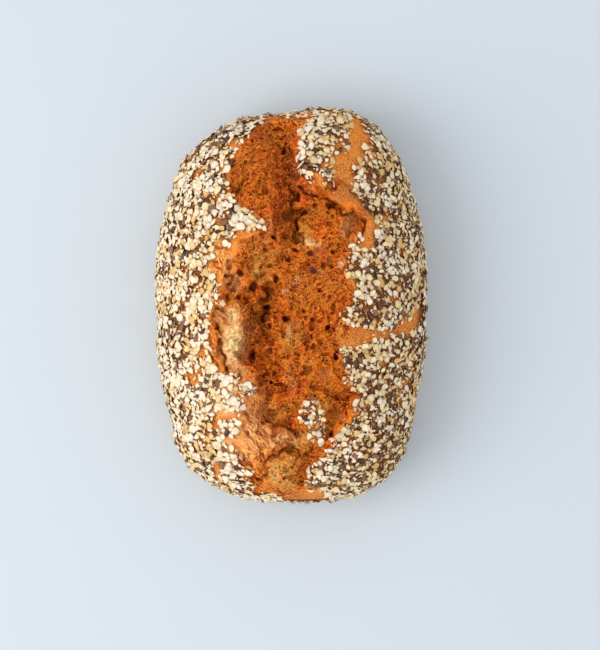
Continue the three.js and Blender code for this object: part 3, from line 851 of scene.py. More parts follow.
def skin_of(field, lines):
    """Corners and four-sided faces of the surface where the field changes sign."""
    inside = field < 0
    counts = [n - 1 for n in inside.shape]
    filled = np.zeros(counts, np.uint8)
    for offset in product((0, 1), repeat=3):
        filled += inside[tuple(slice(o, o + n) for o, n in zip(offset, counts))]
    cells = np.argwhere((filled > 0) & (filled < 8))
    number = np.full(counts, -1, np.int32)
    number[tuple(cells.T)] = np.arange(len(cells))

    total = np.zeros((len(cells), 3))
    hits = np.zeros(len(cells))
    for axis in range(3):
        for offset in product((0, 1), repeat=3):
            if offset[axis]:
                continue
            start = cells + offset
            end = start + np.eye(3, dtype=int)[axis]
            value = field[tuple(start.T)]
            other = field[tuple(end.T)]
            crossed = (value < 0) != (other < 0)
            share = np.where(crossed, value / np.where(crossed, value - other, 1), 0)
            point = np.stack([row[start[:, i]] for i, row in enumerate(lines)], 1)
            point[:, axis] += share * (lines[axis][end[:, axis]] - lines[axis][start[:, axis]])
            total += point * crossed[:, None]
            hits += crossed
    points = total / hits[:, None]

    faces = []
    for axis in range(3):
        second, third = (axis + 1) % 3, (axis + 2) % 3
        near = [slice(1, -1)] * 3
        far = [slice(1, -1)] * 3
        near[axis] = slice(0, -1)
        far[axis] = slice(1, None)
        leaving = inside[tuple(near)]
        at = np.argwhere(leaving != inside[tuple(far)])
        outwards = leaving[tuple(at.T)]
        at[:, second] += 1
        at[:, third] += 1
        step_second = np.eye(3, dtype=int)[second]
        step_third = np.eye(3, dtype=int)[third]
        ring = [at - step_second - step_third, at - step_third, at, at - step_second]
        quad = np.stack([number[tuple(corner.T)] for corner in ring], 1)
        faces.append(np.where(outwards[:, None], quad, quad[:, ::-1]))
    return points, np.concatenate(faces)


def largest_part(points, faces):
    """Keeps the one piece that holds most corners, and drops sealed bubbles and loose crumbs."""
    label = np.arange(len(points))
    start = faces.ravel()
    end = np.roll(faces, 1, axis=1).ravel()
    while True:
        lowest = np.minimum(label[start], label[end])
        merged = label.copy()
        np.minimum.at(merged, label[start], lowest)
        np.minimum.at(merged, label[end], lowest)
        while not np.array_equal(merged, merged[merged]):
            merged = merged[merged]
        if np.array_equal(merged, label):
            break
        label = merged
    main = np.bincount(label).argmax()
    kept = label == main
    renumber = np.cumsum(kept) - 1
    return points[kept], renumber[faces[kept[faces[:, 0]]]]


def relaxed(points, faces, amount):
    """Corners drawn part of the way towards the middle of their neighbours."""
    total = np.zeros_like(points)
    count = np.zeros(len(points))
    for step in (1, -1):
        near = np.roll(faces, step, axis=1)
        for axis in range(3):
            total[:, axis] += np.bincount(faces.ravel(), points[near.ravel(), axis], len(points))
        count += np.bincount(faces.ravel(), minlength=len(points))
    return points + amount * (total / count[:, None] - points)


def open_base(points, faces):
    """Faces without those of the flat base, and the ring of corners left round the gap."""
    low = points[:, 2] < BASE_SKIN
    points[low, 2] = 0.0
    flat = low[faces].all(1)
    kept = faces[~flat]
    base = faces[flat]
    start = base.ravel()
    end = np.roll(base, -1, axis=1).ravel()
    pairs = set(zip(start.tolist(), end.tolist()))
    following = {a: b for a, b in pairs if (b, a) not in pairs}
    ring = [next(iter(sorted(following)))]
    while following[ring[-1]] != ring[0]:
        ring.append(following[ring[-1]])
    if len(ring) != len(following):
        raise RuntimeError("the base of the loaf isn't one plain ring")
    return kept, ring


def without_spares(points, faces, ring):
    """Drops corners that no face uses any more."""
    used = np.zeros(len(points), bool)
    used[faces] = True
    used[ring] = True
    renumber = np.cumsum(used) - 1
    return points[used], renumber[faces], [int(renumber[i]) for i in ring]


def blurred(field, reach):
    """Three box blurs of a plan field, each over a number of cells to both sides."""
    for axis in (0, 1) * 3:
        padded = np.pad(field, [(reach + 1, reach) if i == axis else (0, 0) for i in (0, 1)], "edge")
        sums = np.cumsum(padded, axis=axis, dtype=np.float64)
        length = field.shape[axis]
        window = 2 * reach + 1
        field = (np.take(sums, range(window, window + length), axis)
                 - np.take(sums, range(length), axis)) / window
    return field


def top_heights(field, heights):
    """Height of the uppermost skin over each place of the plan."""
    inside = field < 0
    level = len(heights) - 1 - np.argmax(inside[:, :, ::-1], axis=2)
    level = np.minimum(level, len(heights) - 2)
    rows, columns = np.indices(level.shape)
    low = field[rows, columns, level]
    high = field[rows, columns, level + 1]
    share = np.where((low < 0) & (high > 0), low / np.where(low == high, 1, low - high), 0)
    found = heights[level] + share * (heights[level + 1] - heights[level])
    return np.where(inside.any(2), found, 0)


# Meshes


def new_piece(name, points, faces, extra_faces=()):
    """A mesh object from corners in millimetres and rows of faces."""
    mesh = bpy.data.meshes.new(name)
    mesh.from_pydata((points * MM).tolist(), [], faces.tolist() + [list(face) for face in extra_faces])
    mesh.update()
    piece = bpy.data.objects.new(name, mesh)
    bpy.context.scene.collection.objects.link(piece)
    return piece


def read_numbers(rows, name, width=1, kind=np.float32):
    """One property of all rows of a mesh as an array."""
    found = np.empty(len(rows) * width, kind)
    rows.foreach_get(name, found)
    return found.reshape(-1, width) if width > 1 else found


def give_attribute(mesh, name, values):
    """Writes one number for each corner of a mesh."""
    layer = mesh.attributes.new(name, "FLOAT", "POINT")
    layer.data.foreach_set("value", np.asarray(values, np.float32))


def thinned(piece, most_triangles):
    """Thins a mesh where it is plain, down to a number of triangles."""
    mesh = piece.data
    triangles = sum(len(face.vertices) - 2 for face in mesh.polygons)
    thinner = piece.modifiers.new("thinner", "DECIMATE")
    thinner.ratio = min(1.0, most_triangles / triangles)
    shown = piece.evaluated_get(bpy.context.evaluated_depsgraph_get())
    piece.data = bpy.data.meshes.new_from_object(shown)
    piece.modifiers.clear()
    piece.data.name = piece.name
    bpy.data.meshes.remove(mesh)


def hollowness(mesh):
    """How much each corner lies in a hollow, in 1/mm: negative on ridges, softened once."""
    places = read_numbers(mesh.vertices, "co", 3) / MM
    normals = read_numbers(mesh.vertex_normals, "vector", 3)
    start, end = read_numbers(mesh.edges, "vertices", 2, np.int32).T
    run = places[end] - places[start]
    length = np.maximum((run ** 2).sum(1), 0.01)
    count = np.bincount(start, minlength=len(places)) + np.bincount(end, minlength=len(places))
    bend = np.bincount(start, (run * normals[start]).sum(1) / length, len(places))
    bend -= np.bincount(end, (run * normals[end]).sum(1) / length, len(places))
    bend /= count
    near = np.bincount(start, bend[end], len(places)) + np.bincount(end, bend[start], len(places))
    return 0.5 * bend + 0.5 * near / count


def finish_piece(piece, material):
    """Puts the finish on a piece and ties it to the loaf."""
    piece.data.materials.append(material)
    piece.data.polygons.foreach_set("use_smooth", np.ones(len(piece.data.polygons), bool))
    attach(piece, "root")
    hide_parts("loaf")


# Materials


class Board:
    """Adds shader nodes to one tree and joins their sockets."""

    def __init__(self, tree):
        self.tree = tree

    def add(self, kind, sockets=None, **settings):
        """A node with its settings, and numbers or links for its inputs."""
        node = self.tree.nodes.new(kind)
        for name, value in settings.items():
            setattr(node, name, value)
        self.fill(node, sockets or {})
        return node

    def fill(self, node, sockets):
        """Joins inputs of a node to other sockets, or sets their number, vector or colour."""
        for name, value in sockets.items():
            socket = node.inputs[name]
            if isinstance(value, bpy.types.NodeSocket):
                self.tree.links.new(value, socket)
            elif socket.type == "RGBA":
                socket.default_value = (*value, 1.0)
            else:
                socket.default_value = value

    def attribute(self, name):
        return self.add("ShaderNodeAttribute", attribute_name=name).outputs["Fac"]

    def maths(self, operation, *values):
        return self.add("ShaderNodeMath", dict(enumerate(values)), operation=operation).outputs[0]

    def times(self, *factors):
        return reduce(lambda done, factor: self.maths("MULTIPLY", done, factor), factors)

    def sum(self, *terms):
        return reduce(lambda done, term: self.maths("ADD", done, term), terms)

    def away_from(self, value, middle):
        return self.maths("ABSOLUTE", self.maths("SUBTRACT", value, middle))

    def span(self, value, low, high, to_low=0.0, to_high=1.0):
        """A value moved from one range to another with soft ends."""
        sockets = {"Value": value, "From Min": low, "From Max": high, "To Min": to_low, "To Max": to_high}
        return self.add("ShaderNodeMapRange", sockets, interpolation_type="SMOOTHSTEP").outputs[0]

    def mix(self, factor, first, second, **settings):
        """One colour laid over another."""
        sockets = {0: factor, 6: first, 7: second}
        return self.add("ShaderNodeMix", sockets, data_type="RGBA", **settings).outputs[2]

    def layers(self, shade, *rows):
        """A colour with others laid over it in turn, in rows of strength and colour."""
        return reduce(lambda under, row: self.mix(row[0], under, row[1], clamp_factor=True), rows, shade)

    def contrasted(self, shade, gamma, gain):
        """A colour with darker darks and lighter lights."""
        darker = self.add("ShaderNodeGamma", {"Color": shade, "Gamma": gamma}).outputs[0]
        return self.mix(1.0, darker, (gain,) * 3, blend_type="MULTIPLY", clamp_result=True)

    def noise(self, coordinate, millimetres, detail=3.0, roughness=0.55, output="Fac"):
        """Cloudy noise with lumps of about a size in millimetres."""
        sockets = {"Vector": coordinate, "Scale": 1 / (millimetres * MM), "Detail": detail,
                   "Roughness": roughness}
        return self.add("ShaderNodeTexNoise", sockets).outputs[output]

    def cell_edges(self, coordinate, millimetres):
        """Distance from the walls of random cells of about a size in millimetres."""
        sockets = {"Vector": coordinate, "Scale": 1 / (millimetres * MM)}
        return self.add("ShaderNodeTexVoronoi", sockets, feature="DISTANCE_TO_EDGE").outputs["Distance"]

    def threads(self, coordinate, millimetres):
        """Winding lines about a size apart, and the hollows between them."""
        away = self.away_from(self.noise(coordinate, millimetres, 1.0, 0.5), 0.5)
        return self.span(away, 0.065, 0.015), self.span(away, 0.06, 0.14)

    def place(self):
        return self.add("ShaderNodeTexCoord").outputs["Object"]

    def bent(self, coordinate, millimetres, amount):
        """A coordinate moved about by noise, by up to about an amount in millimetres."""
        cloud = self.noise(coordinate, millimetres, 2.0, 0.6, "Color")
        sockets = {0: cloud, 1: (0.5, 0.5, 0.5)}
        centred = self.add("ShaderNodeVectorMath", sockets, operation="SUBTRACT").outputs[0]
        sockets = {0: centred, 1: (2 * amount * MM,) * 3, 2: coordinate}
        return self.add("ShaderNodeVectorMath", sockets, operation="MULTIPLY_ADD").outputs[0]

    def bump(self, height, strength, millimetres):
        """Normals of a surface with a height in shares of a depth in millimetres."""
        sockets = {"Height": height, "Strength": strength, "Distance": millimetres * MM}
        return self.add("ShaderNodeBump", sockets).outputs[0]


def new_material(name):
    """An empty material with its surface shader and a board to add to."""
    material = bpy.data.materials.new(name)
    material.use_nodes = True
    material.node_tree.nodes.clear()
    board = Board(material.node_tree)
    surface = board.add("ShaderNodeBsdfPrincipled")
    board.add("ShaderNodeOutputMaterial", {"Surface": surface.outputs[0]})
    return material, board, surface


def baked_grain():
    """Node group: blotches, specks and fine height of a dry baked surface."""
    group = bpy.data.node_groups.get("Baked grain")
    if group:
        return group
    group = bpy.data.node_groups.new("Baked grain", "ShaderNodeTree")
    for name in ("Blotch Size", "Speck Size"):
        group.interface.new_socket(name, in_out="INPUT", socket_type="NodeSocketFloat")
    for name in ("Blotch", "Speck", "Height"):
        group.interface.new_socket(name, in_out="OUTPUT", socket_type="NodeSocketFloat")
    board = Board(group)
    given = board.add("NodeGroupInput").outputs
    place = board.place()
    blotches = {"Vector": place, "Scale": board.maths("DIVIDE", 1 / MM, given["Blotch Size"])}
    specks = {"Vector": place, "Scale": board.maths("DIVIDE", 1 / MM, given["Speck Size"])}
    blotch = board.add("ShaderNodeTexNoise", {**blotches, "Detail": 4.0, "Roughness": 0.6}).outputs["Fac"]
    speck = board.add("ShaderNodeTexNoise", {**specks, "Detail": 2.0, "Roughness": 0.7}).outputs["Fac"]
    grain = board.add("ShaderNodeTexVoronoi", specks).outputs["Distance"]
    board.add("NodeGroupOutput", {
        "Blotch": board.span(blotch, 0.3, 0.7),
        "Speck": board.span(speck, 0.35, 0.7),
        "Height": board.sum(board.times(speck, 0.6), board.times(grain, 0.5)),
    })
    return group


def grain_of(board, blotch, speck):
    """The shared grain at its own sizes in millimetres."""
    node = board.add("ShaderNodeGroup", node_tree=baked_grain())
    board.fill(node, {"Blotch Size": blotch, "Speck Size": speck})
    return node.outputs


def crumb_web(board, place):
    """Thin walls between fine bubbles: strength of the walls, and of the pits between them."""
    bent = board.bent(place, 2.4, 1.3)
    fine = board.cell_edges(bent, 1.9)
    coarse = board.cell_edges(bent, 3.6)
    fine_wall = board.times(board.span(fine, 0.17, 0.03), 0.3)
    coarse_wall = board.times(board.span(coarse, 0.11, 0.01), 0.4)
    fine_pit = board.times(board.span(fine, 0.12, 0.36), 0.3)
    coarse_pit = board.times(board.span(coarse, 0.16, 0.45), 0.3)
    thin, shallow = board.threads(bent, 1.7)
    thick, hollow = board.threads(board.bent(place, 5.0, 1.5), 3.0)
    wall = board.sum(fine_wall, coarse_wall, board.times(thin, 0.6), board.times(thick, 0.7))
    pit = board.sum(fine_pit, coarse_pit, board.times(shallow, 0.4), board.times(hollow, 0.4))
    return wall, pit


def slits(board, place, turn, millimetres, rare=0.51):
    """Short slits that run one way, as in crust that is pulled apart, and the strands between."""
    sockets = {"Vector": board.bent(place, 5.0, 2.0), "Rotation": (0, 0, turn), "Scale": (1, 3.2, 1.5)}
    drawn = board.add("ShaderNodeMapping", sockets, vector_type="TEXTURE").outputs[0]
    streaks = board.noise(drawn, millimetres, 2.0, 0.5)
    return board.span(streaks, rare, rare + 0.08), board.span(streaks, 0.49, 0.41)


def crust_material(shades):
    """Browned crust outside, and torn crumb with pores, thin webs and scorched ridges inside, in painted
    light and shade.
    """
    material, board, surface = new_material("Baked crust")
    span = board.span
    times = board.times
    place = board.place()
    grain = grain_of(board, 7.0, 0.8)
    torn, frayed, cup, low, sunk, smooth, ribbed, open_crumb, gold, cream, burnt = map(board.attribute, (
        "torn", "frayed", "cup", "low", "deep", "smooth", "ribbed", "airy", "gold", "cream", "burnt"))
    fine = board.noise(place, 1.0, 3.0, 0.65)
    middle = board.noise(place, 4.5, 4.0, 0.6)
    wide = board.noise(place, 13.0, 3.0, 0.6)

    outside = board.layers(
        shades.crust_brown,
        (grain["Blotch"], shades.crust_tan),
        (span(middle, 0.5, 0.66, 0.0, 0.5), shades.crust_brown),
        (times(grain["Speck"], 0.75), shades.crust_light),
        (span(fine, 0.5, 0.34, 0.0, 0.8), shades.crust_brown),
        # Painted shade: the bare crust turns darker red in its low places
        (span(low, 0.1, 0.9, 0.0, 0.6), shades.tear_red),
        # Browner crust between the flakes, darkened further as painted shade
        (times(board.attribute("topping"), span(middle, 0.4, 0.6, 0.95, 0.6)), shades.crust_shade_under_flakes),
    )
    inside = board.layers(
        shades.tear_brown,
        (span(wide, 0.42, 0.6), shades.tear_red),
        (times(span(middle, 0.48, 0.62), 0.7), shades.tear_orange),
        # Painted light on raised parts and ridges, painted shade in deep and low parts and hollows
        (span(sunk, -0.05, -0.5, 0.0, 0.5), shades.tear_orange),
        (span(sunk, 0.1, 0.7, 0.0, 0.75), shades.dark_red_and_shade),
        (span(low, -0.1, -0.9, 0.0, 0.55), shades.tear_orange),
        (span(low, 0.0, 0.9, 0.0, 0.75), shades.dark_red_and_shade),
        (span(cup, 0.05, 0.4, 0.0, 0.85), shades.dark_red_and_shade),
        (span(cup, -0.04, -0.4, 0.0, 0.85), shades.ridge_and_highlight),
        (span(fine, 0.52, 0.66, 0.0, 0.65), shades.ridge_and_highlight),
        (span(fine, 0.48, 0.36, 0.0, 0.85), shades.dark_red_and_shade),
    )

    # Painted shade first darkens the deepest clefts. Then tints by place, weaker in low open crumb so
    # that the painted shade of hollows shows through, and broken up by the fine noise
    deep = times(span(sunk, 0.3, 1.2, 0.0, 0.7), span(cream, 0.0, 0.5, 1.0, 0.0))
    sheltered = times(span(low, 0.1, 0.9, 0.0, -0.6), open_crumb)
    patchy = times(span(fine, 0.3, 0.6, 0.45, 1.0), board.sum(sheltered, 1.0))
    # The pit tint is painted shade; the red and olive tints are partly painted shade
    tints = (
        (gold, 0.95, shades.gold),
        (board.attribute("red"), 0.6, shades.dark_red_and_shade),
        (board.attribute("olive"), 0.65, shades.olive),
        (board.attribute("tan"), 0.8, shades.floor_tan),
        (cream, 0.95, shades.cream),
        (burnt, 0.9, shades.burnt),
        (board.attribute("pit"), 0.5, shades.cleft_shade),
    )
    shade = board.layers(
        board.mix(torn, outside, inside, clamp_factor=True),
        (deep, shades.cleft_shade),
        *((times(strength, patchy, most), tint) for strength, most, tint in tints),
    )

    # Walls, pits, slits and strands, in light and shadow that are paler on pale crumb
    wall, pit = crumb_web(board, place)
    airy = times(open_crumb, span(middle, 0.38, 0.58, 0.6, 1.7))
    web = board.sum(times(torn, airy), times(frayed, 0.25))
    web = times(web, span(ribbed, 0.0, 0.6, 1.0, 0.15))
    lobe = times(smooth, torn)
    cut, strand = slits(board, place, FLAP_TURN, 1.0)
    gash = times(slits(board, place, FLAP_TURN, 2.6, 0.57)[0], frayed)
    wrinkle, fibre = slits(board, place, LOBE_TURN, 1.1)
    furrow, rib = slits(board, place, TONGUE_TURN, 1.4)
    pale = board.sum(times(gold, 0.6), times(cream, 0.8))
    shadow = board.layers(shades.dark_red_and_shade, (pale, shades.tear_orange))
    light = board.layers(shades.ridge_and_highlight, (times(gold, 0.8), shades.crust_light), (cream, shades.cream))
    shade = board.layers(
        shade,
        (times(pit, web, 0.9), shadow),
        (times(cut, frayed, 0.75), shadow),
        (times(strand, frayed, 0.95), light),
        # Coarse slits in darker red: partly the crust's own red, partly painted shade in the slits
        (times(gash, 0.9), shades.tear_red),
        (times(wrinkle, lobe), shadow),
        (times(fibre, lobe, 0.7), light),
        (times(wall, web, 0.95), light),
        # Painted glints of cream on the crests of the walls
        (times(span(fine, 0.56, 0.7), wall, web, 0.5), shades.cream),
        (times(ribbed, span(fine, 0.3, 0.5, 0.8, 1.0)), shades.cream),
        # Painted shade in the furrows between the ribs, and painted light on the ribs
        (times(furrow, ribbed, 0.6), shades.floor_tan),
        (times(rib, ribbed, 0.9), shades.cream),
        # Painted highlight on the rims of folds and pits
        (times(board.attribute("rim"), span(fine, 0.3, 0.55, 0.3, 1.0)), light),
    )
    height = board.sum(
        times(board.sum(times(wall, 0.9), times(pit, -0.7)), web),
        times(fine, 1.1),
        times(grain["Height"], 0.5),
        times(cut, frayed, -0.8),
        times(gash, -1.4),
        times(wrinkle, lobe, -0.8),
        times(furrow, ribbed, -0.9),
    )
    board.fill(surface, {
        "Base Color": board.contrasted(shade, 1.2, 1.23),
        "Roughness": span(torn, 0.0, 1.0, 0.75, 0.55),
        "Specular IOR Level": 0.12,
        "Coat Weight": times(burnt, 0.35),
        "Coat Roughness": 0.35,
        "Normal": board.bump(height, 0.95, 0.75),
    })
    return material


def flake_material(name, light, mid, dark, rim_shade, roughness, gloss=0.2):
    """Dry flakes: one tone for each flake, browned rims, painted shade underneath and in creases, and a
    fine grain.
    """
    material, board, surface = new_material(name)
    span = board.span
    times = board.times
    grain = grain_of(board, 1.6, 0.35)
    tone = board.attribute("tone")
    clouds = board.noise(board.place(), 1.2, 3.0, 0.6)
    crease = board.away_from(clouds, 0.47)
    shade = board.layers(
        dark,
        (span(tone, 0.1, 0.35), mid),
        (span(tone, 0.25, 0.6), light),
        (times(grain["Blotch"], 0.5), mid),
        # Darker mottling, partly the flakes' own tone and partly painted shade, and thin lines of painted
        # shade in creases
        (span(clouds, 0.5, 0.66, 0.0, 0.45), dark),
        (span(crease, 0.028, 0.0, 0.0, 0.7), rim_shade),
        (times(board.attribute("rim"), span(grain["Speck"], 0.0, 1.0, 0.35, 0.85)), rim_shade),
    )
    board.fill(surface, {
        "Base Color": shade,
        "Roughness": span(grain["Speck"], 0.0, 1.0, roughness, roughness + 0.12),
        "Specular IOR Level": gloss,
        "Normal": board.bump(grain["Height"], 0.8, 0.25),
    })
    return material


# Toppings: flakes and seeds pressed into the crust

# Flakes cling in clumps: size of a clump, the gap between two and how far the highest stand out, in
# millimetres
CLUMP_SIZE = 6.5
CLUMP_GAP = 1.1
CLUMP_RISE = 0.9
CLUMP_SEED = 62

# Seeds of the places of all toppings, and of the shapes of the dark ones and of the oats
PLACE_SEED = 61
DARK_SEED = 71
OAT_SEED = 72

# Places tried for each topping wanted, and the size in millimetres of the cells they are sorted into
TRIES_EACH = 6
SORTING_CELL = 3.0

# Toppings on the right flank are smaller by this share
SMALLER_AT_RIGHT = 0.14

# Room between the table and a topping's rim when it is placed, and the lowest it may reach at last
TABLE_ROOM = 1.0
TABLE_GAP = 0.3

# Half of a bran flake's thickness in millimetres
BRAN_THICKNESS = 0.22

# Tilts spread by this share of a kind's own, less on steep flanks, where toppings also lie lower
TILT_SPREAD = 0.6
STEEP_TILT = 0.35
STEEP_LIFT = 0.45

# How uneven flakes are, in shares of their radius: range of the reach of corners, and what a corner
# keeps of it and takes from each corner beside it
FLAKE_REACH = (0.6, 1.26)
FLAKE_OWN = 0.66
FLAKE_BESIDE = 0.17

# Turn of a flake's corners in radians, middle and spread of its curl and twist, sag of its rim, size
# of its thick middle, and range of its thickness
FLAKE_TURN = 0.3
FLAKE_CURL = (0.04, 0.34)
FLAKE_TWIST = (0, 0.25)
FLAKE_SAG = 0.14
FLAKE_MIDDLE = 0.7
FLAKE_THICKNESS = (0.8, 1.3)

# Shape of a linseed in shares of half its length: half-width, half-thickness, taper and pointed tip
LINSEED_WIDTH = 0.5
LINSEED_THICKNESS = 0.26
LINSEED_TAPER = 0.28
LINSEED_TIP = 1.08

# Places, normals and radii of one kind of topping, and a chance drawn for the clump of each
Laid = namedtuple("Laid", "places normals radii clumps")

# Most of each kind, radii in millimetres, gap to others as a share of both radii, lift over the crust
# from low to high in millimetres, tilt in degrees, the attribute of the crust that says where they lie,
# and corners and least width of a flake
Kind = namedtuple(
    "Kind", "name count small large gap low high tilt cover corners narrow", defaults=(0, 1.0))


def topping_kinds(sizes):
    """Kinds of topping in the order in which they are laid."""
    return (
        Kind("linseeds", sizes.linseeds, 2.0, 2.6, 0.9, 0.3, 0.7, 12, "dark"),
        Kind("bran_flakes", sizes.bran_flakes, 1.3, 2.7, 0.6, 0.2, 1.2, 22, "dark", 7, 0.5),
        Kind("oat_flakes", sizes.oat_flakes, 1.5, 3.0, 0.46, 0.2, 1.5, 24, "topping", 9, 0.6),
        Kind("oat_chips", sizes.oat_chips, 0.85, 1.6, 0.5, 0.0, 1.0, 32, "topping", 7, 0.5),
        Kind("oat_crumbs", sizes.oat_crumbs, 0.5, 0.95, 0.5, 0.0, 0.7, 32, "topping", 5, 0.5),
    )


class Ground:
    """The crust as places to lay toppings on: its corners, normals and triangles with their areas."""

    def __init__(self, crust):
        mesh = crust.data
        mesh.calc_loop_triangles()
        self.mesh = mesh
        self.triangles = read_numbers(mesh.loop_triangles, "vertices", 3, np.int32)
        self.places = read_numbers(mesh.vertices, "co", 3) / MM
        self.normals = read_numbers(mesh.vertex_normals, "vector", 3)
        corners = self.places[self.triangles]
        crossed = np.cross(corners[:, 1] - corners[:, 0], corners[:, 2] - corners[:, 0])
        self.areas = np.linalg.norm(crossed, axis=1) / 2

    def pick(self, rng, count, cover):
        """Random places on the topped crust, with the crust's direction there."""
        shares = read_numbers(self.mesh.attributes[cover].data, "value")[self.triangles].mean(1)
        running = np.cumsum(self.areas * shares)
        row = np.searchsorted(running, rng.random(count) * running[-1])
        row = np.minimum(row, len(self.triangles) - 1)
        parts = rng.dirichlet((1, 1, 1), count)[:, :, None]
        places = (self.places[self.triangles[row]] * parts).sum(1)
        normals = (self.normals[self.triangles[row]] * parts).sum(1)
        return places, normals / np.linalg.norm(normals, axis=1)[:, None]


def crowded(taken, home, place, radius, gap):
    """Whether a topping would lie too near one that is already there."""
    x, y, z = place
    for step in NEIGHBOURS:
        for other in taken.get((home[0] + step[0], home[1] + step[1], home[2] + step[2]), ()):
            room = gap * (radius + other[3])
            if (x - other[0]) ** 2 + (y - other[1]) ** 2 + (z - other[2]) ** 2 < room * room:
                return True
    return False


def lay_toppings(crust, kinds):
    """Places, normals and sizes of every topping, by kind, none of them too near another."""
    rng = np.random.default_rng(PLACE_SEED)
    ground = Ground(crust)
    taken = {}
    found = {}
    for kind in kinds:
        places, normals = ground.pick(rng, kind.count * TRIES_EACH, kind.cover)
        wall = cell_walls(places, CLUMP_SIZE, CLUMP_SEED)[0]
        inner = wall > CLUMP_GAP * rng.random(len(places))
        places = places[inner]
        normals = normals[inner]
        radii = rng.uniform(kind.small, kind.large, len(places))
        radii *= 1 - SMALLER_AT_RIGHT * smooth_step(0.0, 40.0, places[:, 0])
        homes = np.floor(places / SORTING_CELL).astype(int).tolist()
        kept = []
        for index, (place, radius, home) in enumerate(zip(places.tolist(), radii.tolist(), homes)):
            if place[2] < radius + TABLE_ROOM or crowded(taken, home, place, radius, kind.gap):
                continue
            taken.setdefault(tuple(home), []).append((*place, radius))
            kept.append(index)
            if len(kept) == kind.count:
                break
        clumps = cell_walls(places[kept], CLUMP_SIZE, CLUMP_SEED)[1]
        found[kind.name] = Laid(places[kept], normals[kept], radii[kept], clumps)
    return found


def turned(rng, normals, tilt):
    """A random set of axes on each normal, tipped by up to about a tilt in degrees."""
    count = len(normals)
    level = STEEP_TILT + (1 - STEEP_TILT) * np.clip(normals[:, 2:], 0, 1)
    spread = math.tan(math.radians(tilt)) * TILT_SPREAD * level
    tipped = normals + spread * rng.standard_normal((count, 3))
    up = tipped / np.linalg.norm(tipped, axis=1)[:, None]
    side = np.cross(up, rng.standard_normal((count, 3)))
    side /= np.linalg.norm(side, axis=1)[:, None]
    return side, np.cross(up, side), up


def laid_out(rng, laid, kind, local):
    """Corners of every topping: its own shape turned and moved to its place on the crust."""
    side, across, up = turned(rng, laid.normals, kind.tilt)
    flat = STEEP_LIFT + (1 - STEEP_LIFT) * np.clip(laid.normals[:, 2], 0, 1)
    lift = (rng.uniform(kind.low, kind.high, len(flat)) + CLUMP_RISE * laid.clumps) * flat
    middle = laid.places + laid.normals * lift[:, None]
    local = local * laid.radii[:, None, None]
    points = (middle[:, None, :] + local[:, :, :1] * side[:, None, :]
              + local[:, :, 1:2] * across[:, None, :] + local[:, :, 2:] * up[:, None, :])
    points[:, :, 2] = np.maximum(points[:, :, 2], TABLE_GAP)
    return points.reshape(-1, 3)


def copied_faces(faces, count, size):
    """The faces of one small thing for each of its copies."""
    return (np.array(faces)[None] + np.arange(count)[:, None, None] * size).reshape(-1, 3)


def flakes(rng, laid, kind, thickness):
    """Closed, curled, uneven discs, one for each place, as one mesh."""
    radii = laid.radii
    corners = kind.corners
    count = len(radii)
    turns = np.arange(corners) * 2 * np.pi / corners
    turns = turns + rng.uniform(-FLAKE_TURN, FLAKE_TURN, (count, corners))
    reach = rng.uniform(*FLAKE_REACH, (count, corners))
    reach = FLAKE_OWN * reach + FLAKE_BESIDE * (np.roll(reach, 1, 1) + np.roll(reach, -1, 1))
    ring_x = np.cos(turns) * reach
    ring_y = np.sin(turns) * reach * rng.uniform(kind.narrow, 1.0, (count, 1))
    curl = rng.normal(*FLAKE_CURL, (count, 1))
    twist = rng.normal(*FLAKE_TWIST, (count, 1))
    uneven = rng.uniform(-FLAKE_SAG, FLAKE_SAG, (count, corners))
    sag = curl * ring_x ** 2 + twist * ring_x * ring_y + uneven
    half = thickness / radii[:, None] * rng.uniform(*FLAKE_THICKNESS, (count, 1))
    zero = np.zeros((count, 1))
    local = np.stack([
        np.hstack([zero, ring_x * FLAKE_MIDDLE, ring_x, zero]),
        np.hstack([zero, ring_y * FLAKE_MIDDLE, ring_y, zero]),
        np.hstack([half * 0.8, sag * 0.5 + half, sag + half * 0.2, -half]),
    ], 2)
    one = []
    for i in range(corners):
        j = (i + 1) % corners
        one.append((0, 1 + i, 1 + j))
        one.append((1 + i, 1 + corners + i, 1 + corners + j))
        one.append((1 + i, 1 + corners + j, 1 + j))
        one.append((1 + 2 * corners, 1 + corners + j, 1 + corners + i))
    size = 2 + 2 * corners
    piece = new_piece(kind.name, laid_out(rng, laid, kind, local), copied_faces(one, count, size))
    # Rims are browned, and the underside is darkened as painted shade
    rim = np.concatenate([[0.0], np.full(corners, 0.2), np.ones(corners), [0.6]])
    give_attribute(piece.data, "rim", np.tile(rim, count))
    # Flakes take a darker tone towards the right flank
    darker_to_right = 0.12 * smooth_step(0.0, 50.0, laid.places[:, 0])
    tone = 0.5 * rng.random(count) + 0.5 * laid.clumps - darker_to_right
    give_attribute(piece.data, "tone", np.repeat(tone, size))
    ends = read_numbers(piece.data.edges, "vertices", 2, np.int32) % size
    crisp = (ends > corners) & (ends < size - 1)
    layer = piece.data.attributes.new("sharp_edge", "BOOLEAN", "EDGE")
    layer.data.foreach_set("value", crisp.all(1))
    return piece


